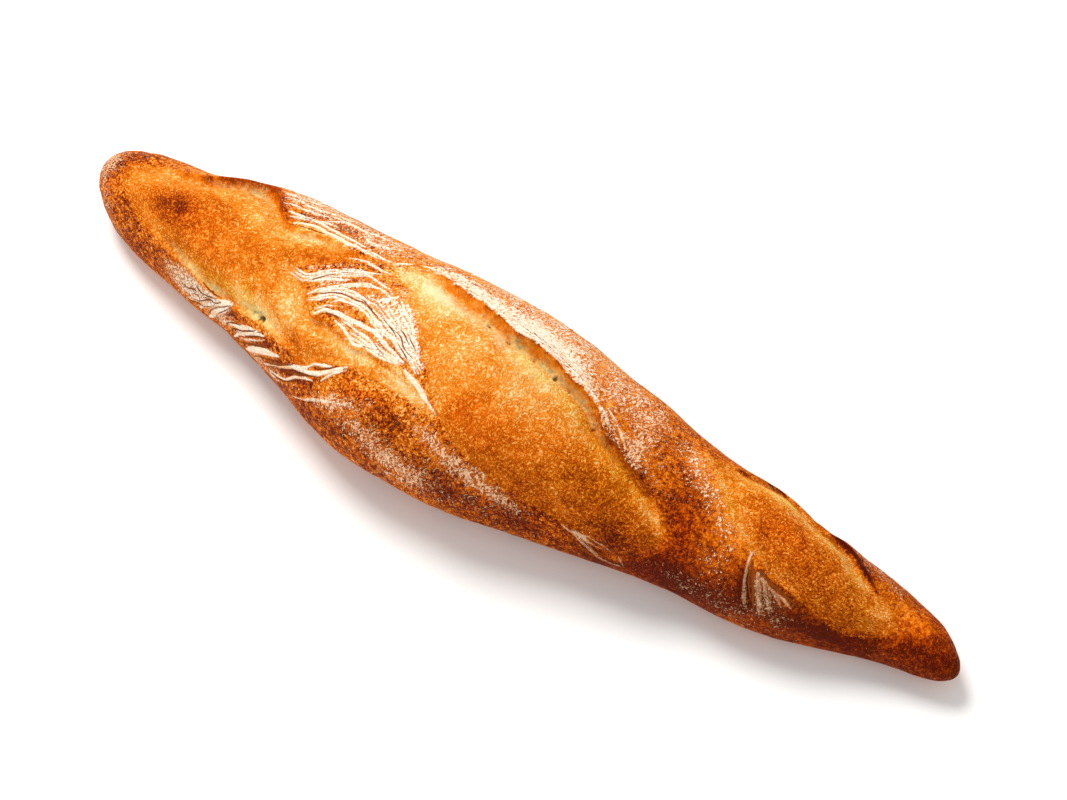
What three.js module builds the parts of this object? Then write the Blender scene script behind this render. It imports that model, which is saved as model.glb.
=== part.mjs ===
// A short, hand-shaped baguette, baked on a stone: one solid of bread.
// It lies along X on its flat underside, +Z up, with its narrow end at +X.
// Three slanting cuts were made in the dough. In the oven each one opened into a smooth
// bulge of dough under a raised lip of skin, the ear. Lengths are millimetres, angles degrees.
import * as THREE from "three";

// ---- Driving dimensions -------------------------------------------------------------------

const LENGTH = 320;
const BLUNT_TIP = 18; // length over which the -X end rounds off
const NARROW_TIP = 13; // the same at the +X end
const SIDE_FULLNESS = 2.1; // superellipse power of the upper half of a section
const BASE_FULLNESS = 2.8; // the same for the lower half, squarer where the dough settled
const WAIST = 0.45; // widest level of a section, as a share of its height

// The loaf's body: [x, half width, height, drift of the middle along Y, lift of the underside].
// A negative lift is pressed flat by the stone, which gives the level base.
const STATIONS = [
  [-160, 13.2, 26.0, 6.3, 5.0],
  [-148, 13.7, 26.6, 4.9, 2.0],
  [-134, 16.6, 28.8, 3.8, -0.7],
  [-120, 18.1, 33.0, 2.5, -2.4],
  [-105, 21.8, 36.6, 2.8, -2.5],
  [-90, 24.8, 40.0, 3.3, -2.5],
  [-75, 27.4, 43.0, 1.0, -2.5],
  [-60, 29.8, 46.0, -1.5, -2.5],
  [-45, 33.0, 49.0, -4.0, -2.5],
  [-30, 34.7, 52.0, -4.7, -2.5],
  [-15, 34.5, 52.6, -4.5, -2.5],
  [0, 33.9, 52.0, -4.1, -2.5],
  [16, 31.7, 48.8, -2.7, -2.5],
  [32, 28.3, 45.1, -1.9, -2.5],
  [46, 26.4, 41.8, -0.6, -2.5],
  [60, 23.5, 38.4, 0.1, -2.5],
  [75, 21.2, 35.2, 0.6, -2.5],
  [90, 20.4, 33.0, 0.9, -2.5],
  [105, 17.6, 30.0, 0.8, -2.3],
  [120, 15.0, 25.8, 3.2, -1.3],
  [135, 11.5, 21.0, 5.3, 0.0],
  [148, 8.5, 17.9, 5.2, 2.1],
  [160, 6.2, 15.0, 3.0, 4.0],
];

// Torn edges of the skin, each a line of [x, angle round the loaf, lift of the skin there].
// Angle 0 is the side towards -Y and 90 the crest. Walking along a line, dough is on the right.
const LEFT_EAR = [
  [-146, 100, 0.0], [-134, 111, 1.0], [-123, 116, 1.8], [-112, 130, 2.6], [-99, 127, 2.8],
  [-90, 110, 2.2], [-84, 98, 1.4], [-74, 104, 1.3], [-64, 107, 1.0], [-53, 109, 0.5], [-45, 112, 0.1],
];
const FLAP_TOP = [[-45, 112, 0.1], [-52, 108, 0.3], [-59, 100, 0.4], [-65, 90, 0.6], [-72, 78, 0.8]];
const FLAP_LIP = [
  [-72, 78, 0.8], [-66, 75, 1.0], [-62.5, 69, 1.2], [-57.5, 62.5, 1.5], [-53, 65, 1.5], [-46, 65, 1.2],
  [-40, 62.5, 1.0], [-33, 64, 0.8], [-24, 62.5, 0.6], [-15, 58, 0.4], [-6, 52, 0.0],
];
const FLAP_SIDE = [
  [-6, 52, 0.0], [-12, 62, 0.4], [-18, 73, 0.5], [-28, 89, 0.5], [-37, 102, 0.4], [-45, 112, 0.1],
];
const LEFT_FOOT = [
  [-6, 50, 0.0], [-17, 51, 0.2], [-33, 52, 0.3], [-48, 43, 0.4], [-54, 29, 0.5], [-60, 32, 0.9],
  [-73, 32, 1.3], [-82, 26, 1.3], [-95, 20, 1.2], [-107, 28, 1.0], [-120, 33, 0.8], [-130, 40, 0.5],
  [-141, 52, 0.2], [-148, 80, 0.1], [-146, 100, 0.0],
];
const MIDDLE_EAR = [
  [-45, 112, 0.1], [-36, 118, 0.8], [-26, 119, 1.6], [-16, 115, 2.4], [-3, 109, 3.0], [9, 107, 3.2],
  [20, 103, 3.2], [31, 97, 3.0], [39, 86, 2.8], [48, 80, 2.5], [56, 71, 1.8], [62, 62, 1.0], [68, 44, 0.0],
];
const MIDDLE_FOOT = [
  [68, 44, 0.0], [67, 20, 0.2], [58, 0, 0.3], [50, 2, 0.6], [45, 11, 0.7], [36, 20, 0.5], [22, 25, 0.3],
  [9, 34, 0.3], [1, 43, 0.2], [-6, 52, 0.0],
];
const RIGHT_EAR = [
  [64, 120, 0.0], [73, 133, 0.6], [80, 142, 1.0], [89, 149, 0.9], [98, 146, 0.8], [105, 140, 1.1],
  [111, 139, 1.5], [116, 131, 1.7], [120, 120, 1.6], [124, 109, 1.4], [129, 94, 0.8], [136, 84, 0.0],
];
const RIGHT_FOOT = [
  [136, 84, 0.0], [139, 58, 0.2], [134, 36, 0.2], [128, 28, 0.3], [120, 33, 0.4], [111, 49, 0.8],
  [102, 57, 0.9], [92, 69, 0.7], [85, 79, 0.4], [74, 100, 0.3], [64, 120, 0.0],
];
const TEARS = [
  LEFT_EAR, FLAP_TOP, FLAP_LIP, FLAP_SIDE, LEFT_FOOT, MIDDLE_EAR, MIDDLE_FOOT, RIGHT_EAR, RIGHT_FOOT,
];

// The three openings, each closed by its edges in order.
const OPENINGS = [
  [LEFT_EAR, FLAP_TOP, FLAP_LIP, LEFT_FOOT],
  [MIDDLE_EAR, MIDDLE_FOOT, FLAP_SIDE],
  [RIGHT_EAR, RIGHT_FOOT],
];

const SKIN_SPRING = 6; // distance behind an edge over which the skin comes up
const LIP_SPRING = 2.5; // distance behind an edge over which its lip leans over the dough
const LIP_LEAN = 0.2; // how far a lip leans over, as a share of its lift
const TEAR_WIDTH = 3.5; // width of the torn face under a lip
const VALLEY_WIDTH = 3.5; // width of the valley at the foot of that face
const VALLEY_DEPTH = 0.5; // depth of the valley, as a share of the lip's lift
const BULGE = 2.2; // how far the opened dough swells out
const BULGE_RUN = 7; // distance from the edges over which it swells
const RELIEF_FLOOR = 10; // level below which the relief fades out, towards the flat base
const RELIEF_TIP = 0.6; // share of the full section below which it fades out, towards each tip

// Facets: rings along the loaf and points round each ring, closer on the upper side.
const RINGS = 97;
const RING_POINTS = 44;
const CREST_DENSITY = 0.06;
const SLANT = 0.4; // degrees per millimetre by which the crest's facets turn, to run along the cuts
const CURVE_STEPS = 3; // pieces that each span of an edge is rounded into

// ---- Shape of the body --------------------------------------------------------------------

const radians = THREE.MathUtils.degToRad;
const smoothstep = (value, low, high) => THREE.MathUtils.smoothstep(value, low, high);

/** One column of STATIONS at x, on a smooth curve through the stations. */
function stationValue(x, column) {
  const last = STATIONS.length - 1;
  const slope = (i) => {
    const before = STATIONS[Math.max(i - 1, 0)];
    const after = STATIONS[Math.min(i + 1, last)];
    return (after[column] - before[column]) / (after[0] - before[0]);
  };
  let i = 0;
  while (i < last - 1 && x > STATIONS[i + 1][0]) i += 1;
  const span = STATIONS[i + 1][0] - STATIONS[i][0];
  const t = (x - STATIONS[i][0]) / span;
  return (
    (2 * t ** 3 - 3 * t ** 2 + 1) * STATIONS[i][column] +
    (t ** 3 - 2 * t ** 2 + t) * span * slope(i) +
    (3 * t ** 2 - 2 * t ** 3) * STATIONS[i + 1][column] +
    (t ** 3 - t ** 2) * span * slope(i + 1)
  );
}

/** Share of the full section left at x: 1 along the body, a quarter circle down to 0 at each tip. */
function tipRounding(x) {
  const fromLeft = (-x - (LENGTH / 2 - BLUNT_TIP)) / BLUNT_TIP;
  const fromRight = (x - (LENGTH / 2 - NARROW_TIP)) / NARROW_TIP;
  const past = Math.min(Math.max(fromLeft, fromRight, 0), 1);
  return Math.sqrt(1 - past * past);
}

/** Point of the smooth body at x and an angle round the loaf: a superellipse, cut off level at z = 0. */
function bodyPoint(x, angle) {
  const share = tipRounding(x);
  const halfWidth = stationValue(x, 1) * share;
  const height = stationValue(x, 2);
  const underside = stationValue(x, 4);
  const waist = underside + WAIST * (height - underside);
  const side = Math.cos(radians(angle));
  const rise = Math.sin(radians(angle));
  const power = 2 / (rise >= 0 ? SIDE_FULLNESS : BASE_FULLNESS);
  const reach = (rise >= 0 ? height - waist : waist - underside) * share;
  const y = stationValue(x, 3) - halfWidth * Math.sign(side) * Math.abs(side) ** power;
  const z = waist + reach * Math.sign(rise) * Math.abs(rise) ** power;
  return new THREE.Vector3(x, y, Math.max(z, 0));
}

/** Mean radius of the section at x, which turns an angle into a length on the skin. */
function skinRadius(x) {
  return (tipRounding(x) * (2 * stationValue(x, 1) + stationValue(x, 2))) / 4;
}

/** Directions on the body at a point: along the loaf, round it, and out of the skin. */
function skinAxes(x, angle) {
  const step = 0.5;
  const inner = THREE.MathUtils.clamp(x, -LENGTH / 2 + step, LENGTH / 2 - step);
  const along = bodyPoint(inner + step, angle).sub(bodyPoint(inner - step, angle)).normalize();
  const round = bodyPoint(inner, angle + step).sub(bodyPoint(inner, angle - step)).normalize();
  const out = new THREE.Vector3().crossVectors(along, round).normalize();
  return { along, round, out };
}

// ---- Cuts, ears and bulges ----------------------------------------------------------------

/** The points of an edge, rounded into a smooth line. */
function roundedLine(points) {
  const curve = new THREE.CatmullRomCurve3(
    points.map((point) => new THREE.Vector3(...point)), false, "catmullrom",
  );
  return curve.getPoints((points.length - 1) * CURVE_STEPS);
}

const tearLines = TEARS.map(roundedLine);
const openingOutlines = OPENINGS.map((edges) => edges.flatMap((edge) => tearLines[TEARS.indexOf(edge)]));

/** Nearest point of a line: its distance on the skin, its side (dough is +1) and its lift. */
function nearestOnLine(line, x, angle, radius) {
  const perDegree = radians(1) * radius;
  let best = { distance: Infinity };
  for (let i = 0; i < line.length - 1; i += 1) {
    const start = line[i];
    const end = line[i + 1];
    const lineX = end.x - start.x;
    const lineY = (end.y - start.y) * perDegree;
    const toX = x - start.x;
    const toY = (angle - start.y) * perDegree;
    const share = THREE.MathUtils.clamp((toX * lineX + toY * lineY) / (lineX ** 2 + lineY ** 2), 0, 1);
    const offX = toX - share * lineX;
    const offY = toY - share * lineY;
    const distance = Math.hypot(offX, offY);
    if (distance < best.distance) {
      const side = Math.sign(toX * lineY - toY * lineX) || 1;
      const length = distance || 1;
      const towardsDough = [(side * offX) / length, (side * offY) / length];
      best = { distance, side, towardsDough, lift: start.z + share * (end.z - start.z) };
    }
  }
  return best;
}

/** Whether a point on the skin lies inside an opening's outline. */
function isInside(outline, x, angle) {
  let inside = false;
  for (let i = 0, j = outline.length - 1; i < outline.length; j = i, i += 1) {
    const a = outline[i];
    const b = outline[j];
    const crosses = a.y > angle !== b.y > angle;
    if (crosses && x < ((b.x - a.x) * (angle - a.y)) / (b.y - a.y) + a.x) inside = !inside;
  }
  return inside;
}

/**
 * How the tears move the skin at a point: out of it, and along and round it for the leaning lips.
 * Behind an edge the skin springs up towards its lip; past the lip the torn face drops into a
 * valley; further in, the opened dough swells out again.
 */
function relief(x, angle) {
  const radius = skinRadius(x);
  const move = { out: 0, along: 0, round: 0 };
  const nearest = tearLines.map((line) => nearestOnLine(line, x, angle, radius));
  for (const { distance, side, towardsDough, lift } of nearest) {
    if (side < 0) {
      const lean = LIP_LEAN * lift * Math.exp(-distance / LIP_SPRING);
      move.out += lift * Math.exp(-distance / SKIN_SPRING);
      move.along += lean * towardsDough[0];
      move.round += lean * towardsDough[1];
    } else {
      const fallen = smoothstep(distance, 0, TEAR_WIDTH);
      const valley = Math.exp(-(((distance - TEAR_WIDTH) / VALLEY_WIDTH) ** 2));
      move.out += lift * (1 - fallen) - VALLEY_DEPTH * lift * valley * fallen;
    }
  }
  openingOutlines.forEach((outline, index) => {
    if (!isInside(outline, x, angle)) return;
    const edges = OPENINGS[index].map((edge) => nearest[TEARS.indexOf(edge)].distance);
    move.out += BULGE * (1 - Math.exp(-((Math.min(...edges) / BULGE_RUN) ** 2)));
  });
  return move;
}

/** Point of the finished loaf at x and an angle round it. */
function loafPoint(x, angle) {
  const point = bodyPoint(x, angle);
  const fade = smoothstep(point.z, 0, RELIEF_FLOOR) * smoothstep(tipRounding(x), 0, RELIEF_TIP);
  if (fade === 0) return point;
  const { along, round, out } = skinAxes(x, angle);
  const move = relief(x, angle);
  return point
    .addScaledVector(out, move.out * fade)
    .addScaledVector(along, move.along * fade)
    .addScaledVector(round, move.round * fade);
}

// ---- Facets -------------------------------------------------------------------------------

/** Places of the rings along X, evenly spaced along the outline, so that the tips stay round. */
function ringPlaces() {
  const samples = 2000;
  const places = [];
  const travelled = [];
  for (let i = 0; i <= samples; i += 1) {
    const x = (LENGTH / 2) * Math.sin(Math.PI * (i / samples - 0.5));
    const outline = new THREE.Vector2(x, stationValue(x, 1) * tipRounding(x));
    const before = places.length ? places[places.length - 1].distanceTo(outline) : 0;
    travelled.push((travelled.at(-1) ?? 0) + before);
    places.push(outline);
  }
  const rings = [];
  let i = 0;
  for (let ring = 1; ring <= RINGS; ring += 1) {
    const target = (travelled.at(-1) * ring) / (RINGS + 1);
    while (travelled[i + 1] < target) i += 1;
    const share = (target - travelled[i]) / (travelled[i + 1] - travelled[i]);
    rings.push(THREE.MathUtils.lerp(places[i].x, places[i + 1].x, share));
  }
  return rings;
}

/** Angle of a ring's point, from the middle of the underside once round, slanting over the crest. */
function ringAngle(x, index) {
  const turn = index / RING_POINTS;
  const share = Math.sin(Math.PI * turn) ** 2;
  return 360 * (turn + CREST_DENSITY * Math.sin(2 * Math.PI * turn)) - 90 - SLANT * x * share;
}

function loafGeometry() {
  const vertices = [];
  const faces = [];
  const places = ringPlaces();
  for (const x of places) {
    for (let i = 0; i < RING_POINTS; i += 1) vertices.push(...loafPoint(x, ringAngle(x, i)).toArray());
  }
  const at = (ring, i) => ring * RING_POINTS + (i % RING_POINTS);
  for (let ring = 0; ring < places.length - 1; ring += 1) {
    for (let i = 0; i < RING_POINTS; i += 1) {
      faces.push(at(ring, i), at(ring + 1, i + 1), at(ring, i + 1));
      faces.push(at(ring, i), at(ring + 1, i), at(ring + 1, i + 1));
    }
  }
  const leftTip = vertices.length / 3;
  vertices.push(...bodyPoint(-LENGTH / 2, 0).toArray(), ...bodyPoint(LENGTH / 2, 0).toArray());
  for (let i = 0; i < RING_POINTS; i += 1) {
    faces.push(leftTip, at(0, i), at(0, i + 1));
    faces.push(leftTip + 1, at(places.length - 1, i + 1), at(places.length - 1, i));
  }
  const geometry = new THREE.BufferGeometry();
  geometry.setAttribute("position", new THREE.Float32BufferAttribute(vertices, 3));
  geometry.setIndex(faces);
  geometry.computeBoundingBox();
  const middle = geometry.boundingBox.getCenter(new THREE.Vector3());
  geometry.translate(-middle.x, -middle.y, 0);
  geometry.computeVertexNormals();
  return geometry;
}

const crust = new THREE.MeshStandardMaterial({ color: 0xc9762e, roughness: 0.7, metalness: 0 });
const loaf = new THREE.Mesh(loafGeometry(), crust);
loaf.name = "loaf";

const group = new THREE.Group();
group.add(loaf);

export default group;
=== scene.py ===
import bpy
import numpy as np
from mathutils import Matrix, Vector


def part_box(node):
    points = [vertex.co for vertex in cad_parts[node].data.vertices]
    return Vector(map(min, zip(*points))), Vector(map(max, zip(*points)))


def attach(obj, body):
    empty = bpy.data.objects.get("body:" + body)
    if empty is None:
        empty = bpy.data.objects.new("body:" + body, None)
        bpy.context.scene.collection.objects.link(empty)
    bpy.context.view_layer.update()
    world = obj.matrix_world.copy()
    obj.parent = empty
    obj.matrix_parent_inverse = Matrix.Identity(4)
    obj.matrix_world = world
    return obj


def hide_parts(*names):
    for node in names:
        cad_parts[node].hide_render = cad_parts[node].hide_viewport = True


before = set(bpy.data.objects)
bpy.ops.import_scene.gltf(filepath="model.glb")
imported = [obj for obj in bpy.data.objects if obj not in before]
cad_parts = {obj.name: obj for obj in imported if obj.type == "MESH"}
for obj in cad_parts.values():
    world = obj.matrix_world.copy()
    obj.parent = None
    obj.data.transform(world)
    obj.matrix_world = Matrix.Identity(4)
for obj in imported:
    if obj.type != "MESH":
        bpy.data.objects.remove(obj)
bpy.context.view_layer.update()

# ---- Camera ---------------------------------------------------------------------------------
# A long lens looks down on the loaf from its front right, so that the loaf runs from the
# upper left of the picture, its blunt end, to the lower right, its narrow end.

CAMERA_ROUND = np.radians(33.4)  # turned about +Z from looking along +Y
CAMERA_RISE = np.radians(60.0)  # above the floor
CAMERA_LENS = 100.0
SENSOR_WIDTH = 36.0
VIEW_WIDTH = 0.327  # how much the picture takes in, across, at the point looked at
LOOK_AT = Vector((0.0080, 0.0092, 0.0247))

camera_data = bpy.data.cameras.new("camera")
camera_data.lens = CAMERA_LENS
camera_data.sensor_width = SENSOR_WIDTH
camera = bpy.data.objects.new("camera", camera_data)
towards_camera = Vector((
    np.sin(CAMERA_ROUND) * np.cos(CAMERA_RISE),
    -np.cos(CAMERA_ROUND) * np.cos(CAMERA_RISE),
    np.sin(CAMERA_RISE),
))
camera.location = LOOK_AT + towards_camera * (VIEW_WIDTH * CAMERA_LENS / SENSOR_WIDTH)
camera.rotation_euler = towards_camera.to_track_quat("Z", "Y").to_euler()
bpy.context.scene.collection.objects.link(camera)
bpy.context.scene.camera = camera

# ---- Floor and light ------------------------------------------------------------------------
# A plain pale floor, one large soft light above the blunt end, a fainter one in front and a
# bright, even room.

FLOOR_SIZE = 6.0
FLOOR_WHITE = (0.90, 0.90, 0.89, 1.0)
FLOOR_ROUGHNESS = 0.9
ROOM_WHITE = (1.0, 1.0, 1.0, 1.0)
ROOM_STRENGTH = 0.62
KEY_PLACE = Vector((-0.55, 0.30, 0.95))
KEY_SIZE = 0.55
KEY_POWER = 13.0
FILL_PLACE = Vector((-0.35, -0.80, 0.38))
FILL_SIZE = 0.8
FILL_POWER = 2.4
LIGHT_COLOUR = (1.0, 0.985, 0.96)

floor_mesh = bpy.data.meshes.new("floor")
half_floor = FLOOR_SIZE / 2
floor_mesh.from_pydata(
    [(-half_floor, -half_floor, 0), (half_floor, -half_floor, 0),
     (half_floor, half_floor, 0), (-half_floor, half_floor, 0)],
    [],
    [(0, 1, 2, 3)],
)
floor = bpy.data.objects.new("floor", floor_mesh)
bpy.context.scene.collection.objects.link(floor)
floor_paint = bpy.data.materials.new("floor_paint")
floor_paint.use_nodes = True
floor_bsdf = floor_paint.node_tree.nodes["Principled BSDF"]
floor_bsdf.inputs["Base Color"].default_value = FLOOR_WHITE
floor_bsdf.inputs["Roughness"].default_value = FLOOR_ROUGHNESS
floor_mesh.materials.append(floor_paint)

room = bpy.data.worlds.new("room")
room.use_nodes = True
room.node_tree.nodes["Background"].inputs["Color"].default_value = ROOM_WHITE
room.node_tree.nodes["Background"].inputs["Strength"].default_value = ROOM_STRENGTH
bpy.context.scene.world = room


def soft_light(name, place, size, power):
    """A round, soft light at a place, turned towards the loaf."""
    data = bpy.data.lights.new(name, "AREA")
    data.shape = "DISK"
    data.size = size
    data.energy = power
    data.color = LIGHT_COLOUR
    light = bpy.data.objects.new(name, data)
    light.location = place
    light.rotation_euler = (place - LOOK_AT).to_track_quat("Z", "Y").to_euler()
    bpy.context.scene.collection.objects.link(light)


soft_light("key", KEY_PLACE, KEY_SIZE, KEY_POWER)
soft_light("fill", FILL_PLACE, FILL_SIZE, FILL_POWER)
bpy.context.scene.view_settings.view_transform = "Standard"

# ---- The loaf's body ------------------------------------------------------------------------
# A hand-rolled roll of dough, thick in the middle, with one blunt and one narrow end. It settled
# level on the stone. Shapes are worked out in millimetres and degrees, and go into the mesh in
# metres. x runs along the loaf; angle runs round it, 0 on the -Y side, 90 on the crest.

METRE = 1000.0
LENGTH = 320.0
BLUNT_TIP = 18.0  # how long each tip's rounding is
NARROW_TIP = 13.0
WAIST = 0.45  # share of the height at which the loaf is widest
SIDE_FULLNESS = 2.1  # power of the section's superellipse above the waist, and below it
BASE_FULLNESS = 2.8
NOISE_TABLE = 32  # random numbers along each side of a noise's table, which repeats past it
NOISE_SHIFT = 1000.0  # keeps the places in the table positive

# x, half width, height, drift of the middle along Y, lift of the underside.
STATIONS = np.array([
    [-160, 13.2, 26.0, 6.3, 5.0],
    [-148, 13.7, 26.6, 4.9, 2.0],
    [-134, 16.6, 28.8, 3.8, -0.7],
    [-120, 18.1, 33.0, 2.5, -2.4],
    [-105, 21.8, 36.6, 2.8, -2.5],
    [-90, 24.8, 40.0, 3.3, -2.5],
    [-75, 27.4, 43.0, 1.0, -2.5],
    [-60, 29.8, 46.0, -1.5, -2.5],
    [-45, 33.0, 49.0, -4.0, -2.5],
    [-30, 34.7, 52.0, -4.7, -2.5],
    [-15, 34.5, 52.6, -4.5, -2.5],
    [0, 33.9, 52.0, -4.1, -2.5],
    [16, 31.7, 48.8, -2.7, -2.5],
    [32, 28.3, 45.1, -1.9, -2.5],
    [46, 26.4, 41.8, -0.6, -2.5],
    [60, 23.5, 38.4, 0.1, -2.5],
    [75, 21.2, 35.2, 0.6, -2.5],
    [90, 20.4, 33.0, 0.9, -2.5],
    [105, 17.6, 30.0, 0.8, -2.3],
    [120, 15.0, 25.8, 3.2, -1.3],
    [135, 11.5, 21.0, 5.3, 0.0],
    [148, 8.5, 17.9, 5.2, 2.1],
    [160, 6.2, 15.0, 3.0, 4.0],
])
STATION_SLOPES = np.array([
    (STATIONS[min(i + 1, len(STATIONS) - 1)] - STATIONS[max(i - 1, 0)])
    / (STATIONS[min(i + 1, len(STATIONS) - 1), 0] - STATIONS[max(i - 1, 0), 0])
    for i in range(len(STATIONS))
])


def smoothstep(value, low, high):
    """0 below low, 1 above high, and 3t^2 - 2t^3 of the way t between them."""
    t = np.clip((value - low) / (high - low), 0.0, 1.0)
    return t * t * (3.0 - 2.0 * t)


def cubic(t, start, start_slope, end, end_slope):
    """From start to end, with those slopes there, as t goes from 0 to 1: 2t^3 - 3t^2 + 1 parts of
    start, t^3 - 2t^2 + t of its slope, 3t^2 - 2t^3 of end and t^3 - t^2 of its slope."""
    return (
        (2 * t**3 - 3 * t**2 + 1) * start
        + (t**3 - 2 * t**2 + t) * start_slope
        + (3 * t**2 - 2 * t**3) * end
        + (t**3 - t**2) * end_slope
    )


def station_value(x, column):
    """One column of STATIONS at x: a cubic through the stations with the slope of their neighbours."""
    i = np.clip(np.searchsorted(STATIONS[:, 0], x) - 1, 0, len(STATIONS) - 2)
    span = STATIONS[i + 1, 0] - STATIONS[i, 0]
    start, end = STATIONS[i, column], STATIONS[i + 1, column]
    start_slope, end_slope = span * STATION_SLOPES[i, column], span * STATION_SLOPES[i + 1, column]
    return cubic((x - STATIONS[i, 0]) / span, start, start_slope, end, end_slope)


def tip_rounding(x):
    """Share of the full section left at x: 1 along the body, a quarter circle to 0 at each tip."""
    from_left = (-x - (LENGTH / 2 - BLUNT_TIP)) / BLUNT_TIP
    from_right = (x - (LENGTH / 2 - NARROW_TIP)) / NARROW_TIP
    past = np.clip(np.maximum(from_left, from_right), 0.0, 1.0)
    return np.sqrt(1.0 - past * past)


def body_points(x, angle):
    """Points of the smooth body: a superellipse section at x, cut off level at z = 0."""
    share = tip_rounding(x)
    half_width = station_value(x, 1) * share
    height = station_value(x, 2)
    underside = station_value(x, 4)
    waist = underside + WAIST * (height - underside)
    side = np.cos(np.radians(angle))
    rise = np.sin(np.radians(angle))
    power = 2.0 / np.where(rise >= 0, SIDE_FULLNESS, BASE_FULLNESS)
    reach = np.where(rise >= 0, height - waist, waist - underside) * share
    y = station_value(x, 3) - half_width * np.sign(side) * np.abs(side) ** power
    z = waist + reach * np.sign(rise) * np.abs(rise) ** power
    return np.stack([x + 0.0 * y, y, np.maximum(z, 0.0)], axis=-1)


def skin_radius(x):
    """Mean radius of the section at x, which turns an angle into a length on the skin."""
    return 0.25 * tip_rounding(x) * (2.0 * station_value(x, 1) + station_value(x, 2))


def lattice_noise(points, size, seed):
    """Smooth random heights from -1 to 1: random numbers on a cubic lattice of that size in
    millimetres, blended between its corners by smoothstep in each direction."""
    table = np.random.default_rng(seed).uniform(-1.0, 1.0, (NOISE_TABLE,) * 3)
    cell = points / size + NOISE_SHIFT
    corner = np.floor(cell).astype(int)
    part = cell - corner
    part = part * part * (3.0 - 2.0 * part)
    total = 0.0
    for dx in (0, 1):
        for dy in (0, 1):
            for dz in (0, 1):
                weight = (
                    np.where(dx, part[..., 0], 1 - part[..., 0])
                    * np.where(dy, part[..., 1], 1 - part[..., 1])
                    * np.where(dz, part[..., 2], 1 - part[..., 2])
                )
                at = (corner + (dx, dy, dz)) % NOISE_TABLE
                total = total + weight * table[at[..., 0], at[..., 1], at[..., 2]]
    return total


# ---- Cuts, ears and openings ----------------------------------------------------------------
# Three slanting cuts opened in the oven. Behind each cut's upper edge the skin sprang up into an
# ear; under it the torn face drops into a valley, and further on the dough swells out again.
# A tongue of skin, the flap, is left between the first two openings.

# Torn edges: x, angle, lift of the skin there. Walking along a line, the dough is on the right.
LEFT_EAR = [
    [-146, 100, 0.0], [-134, 111, 1.0], [-123, 116, 1.8], [-112, 130, 2.6], [-99, 127, 2.8],
    [-90, 110, 2.2], [-84, 98, 1.4], [-74, 104, 1.3], [-64, 107, 1.0], [-53, 109, 0.5], [-45, 112, 0.1],
]
FLAP_TOP = [[-45, 112, 0.1], [-52, 108, 0.3], [-59, 100, 0.4], [-65, 90, 0.6], [-72, 78, 0.8]]
FLAP_LIP = [
    [-72, 78, 0.8], [-66, 75, 1.0], [-62.5, 69, 1.2], [-57.5, 62.5, 1.5], [-53, 65, 1.5], [-46, 65, 1.2],
    [-40, 62.5, 1.0], [-33, 64, 0.8], [-24, 62.5, 0.6], [-15, 58, 0.4], [-6, 52, 0.0],
]
FLAP_SIDE = [
    [-6, 52, 0.0], [-12, 62, 0.4], [-18, 73, 0.5], [-28, 89, 0.5], [-37, 102, 0.4], [-45, 112, 0.1],
]
LEFT_FOOT = [
    [-6, 50, 0.0], [-17, 51, 0.2], [-33, 52, 0.3], [-48, 43, 0.4], [-54, 29, 0.5], [-60, 32, 0.9],
    [-73, 32, 1.3], [-82, 26, 1.3], [-95, 20, 1.2], [-107, 28, 1.0], [-120, 33, 0.8], [-130, 40, 0.5],
    [-141, 52, 0.2], [-148, 80, 0.1], [-146, 100, 0.0],
]
MIDDLE_EAR = [
    [-45, 112, 0.1], [-36, 118, 0.8], [-26, 119, 1.6], [-16, 115, 2.4], [-3, 109, 3.0], [9, 107, 3.2],
    [20, 103, 3.2], [31, 97, 3.0], [39, 86, 2.8], [48, 80, 2.5], [56, 71, 1.8], [62, 62, 1.0], [68, 44, 0.0],
]
MIDDLE_FOOT = [
    [68, 44, 0.0], [67, 20, 0.2], [58, 0, 0.3], [50, 2, 0.6], [45, 11, 0.7], [36, 20, 0.5], [22, 25, 0.3],
    [9, 34, 0.3], [1, 43, 0.2], [-6, 52, 0.0],
]
RIGHT_EAR = [
    [64, 120, 0.0], [73, 133, 0.6], [80, 142, 1.0], [89, 149, 0.9], [98, 146, 0.8], [105, 140, 1.1],
    [111, 139, 1.5], [116, 131, 1.7], [120, 120, 1.6], [124, 109, 1.4], [129, 94, 0.8], [136, 84, 0.0],
]
RIGHT_FOOT = [
    [136, 84, 0.0], [139, 58, 0.2], [134, 36, 0.2], [128, 28, 0.3], [120, 33, 0.4], [111, 49, 0.8],
    [102, 57, 0.9], [92, 69, 0.7], [85, 79, 0.4], [74, 100, 0.3], [64, 120, 0.0],
]
CURVE_STEPS = 6


def rounded_line(points):
    """A smooth line through the points: in each span, the cubic whose slopes at its ends are half
    the way between their neighbours. Every column is rounded alike."""
    points = np.asarray(points, float)
    before = np.concatenate([2 * points[:1] - points[1:2], points[:-2]])
    after = np.concatenate([points[2:], 2 * points[-1:] - points[-2:-1]])
    t = (np.arange(CURVE_STEPS) / CURVE_STEPS)[None, :, None]
    start_slope = (points[1:] - before)[:, None] / 2
    end_slope = (after - points[:-1])[:, None] / 2
    curve = cubic(t, points[:-1, None], start_slope, points[1:, None], end_slope)
    return np.concatenate([curve.reshape(-1, points.shape[1]), points[-1:]])


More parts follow.
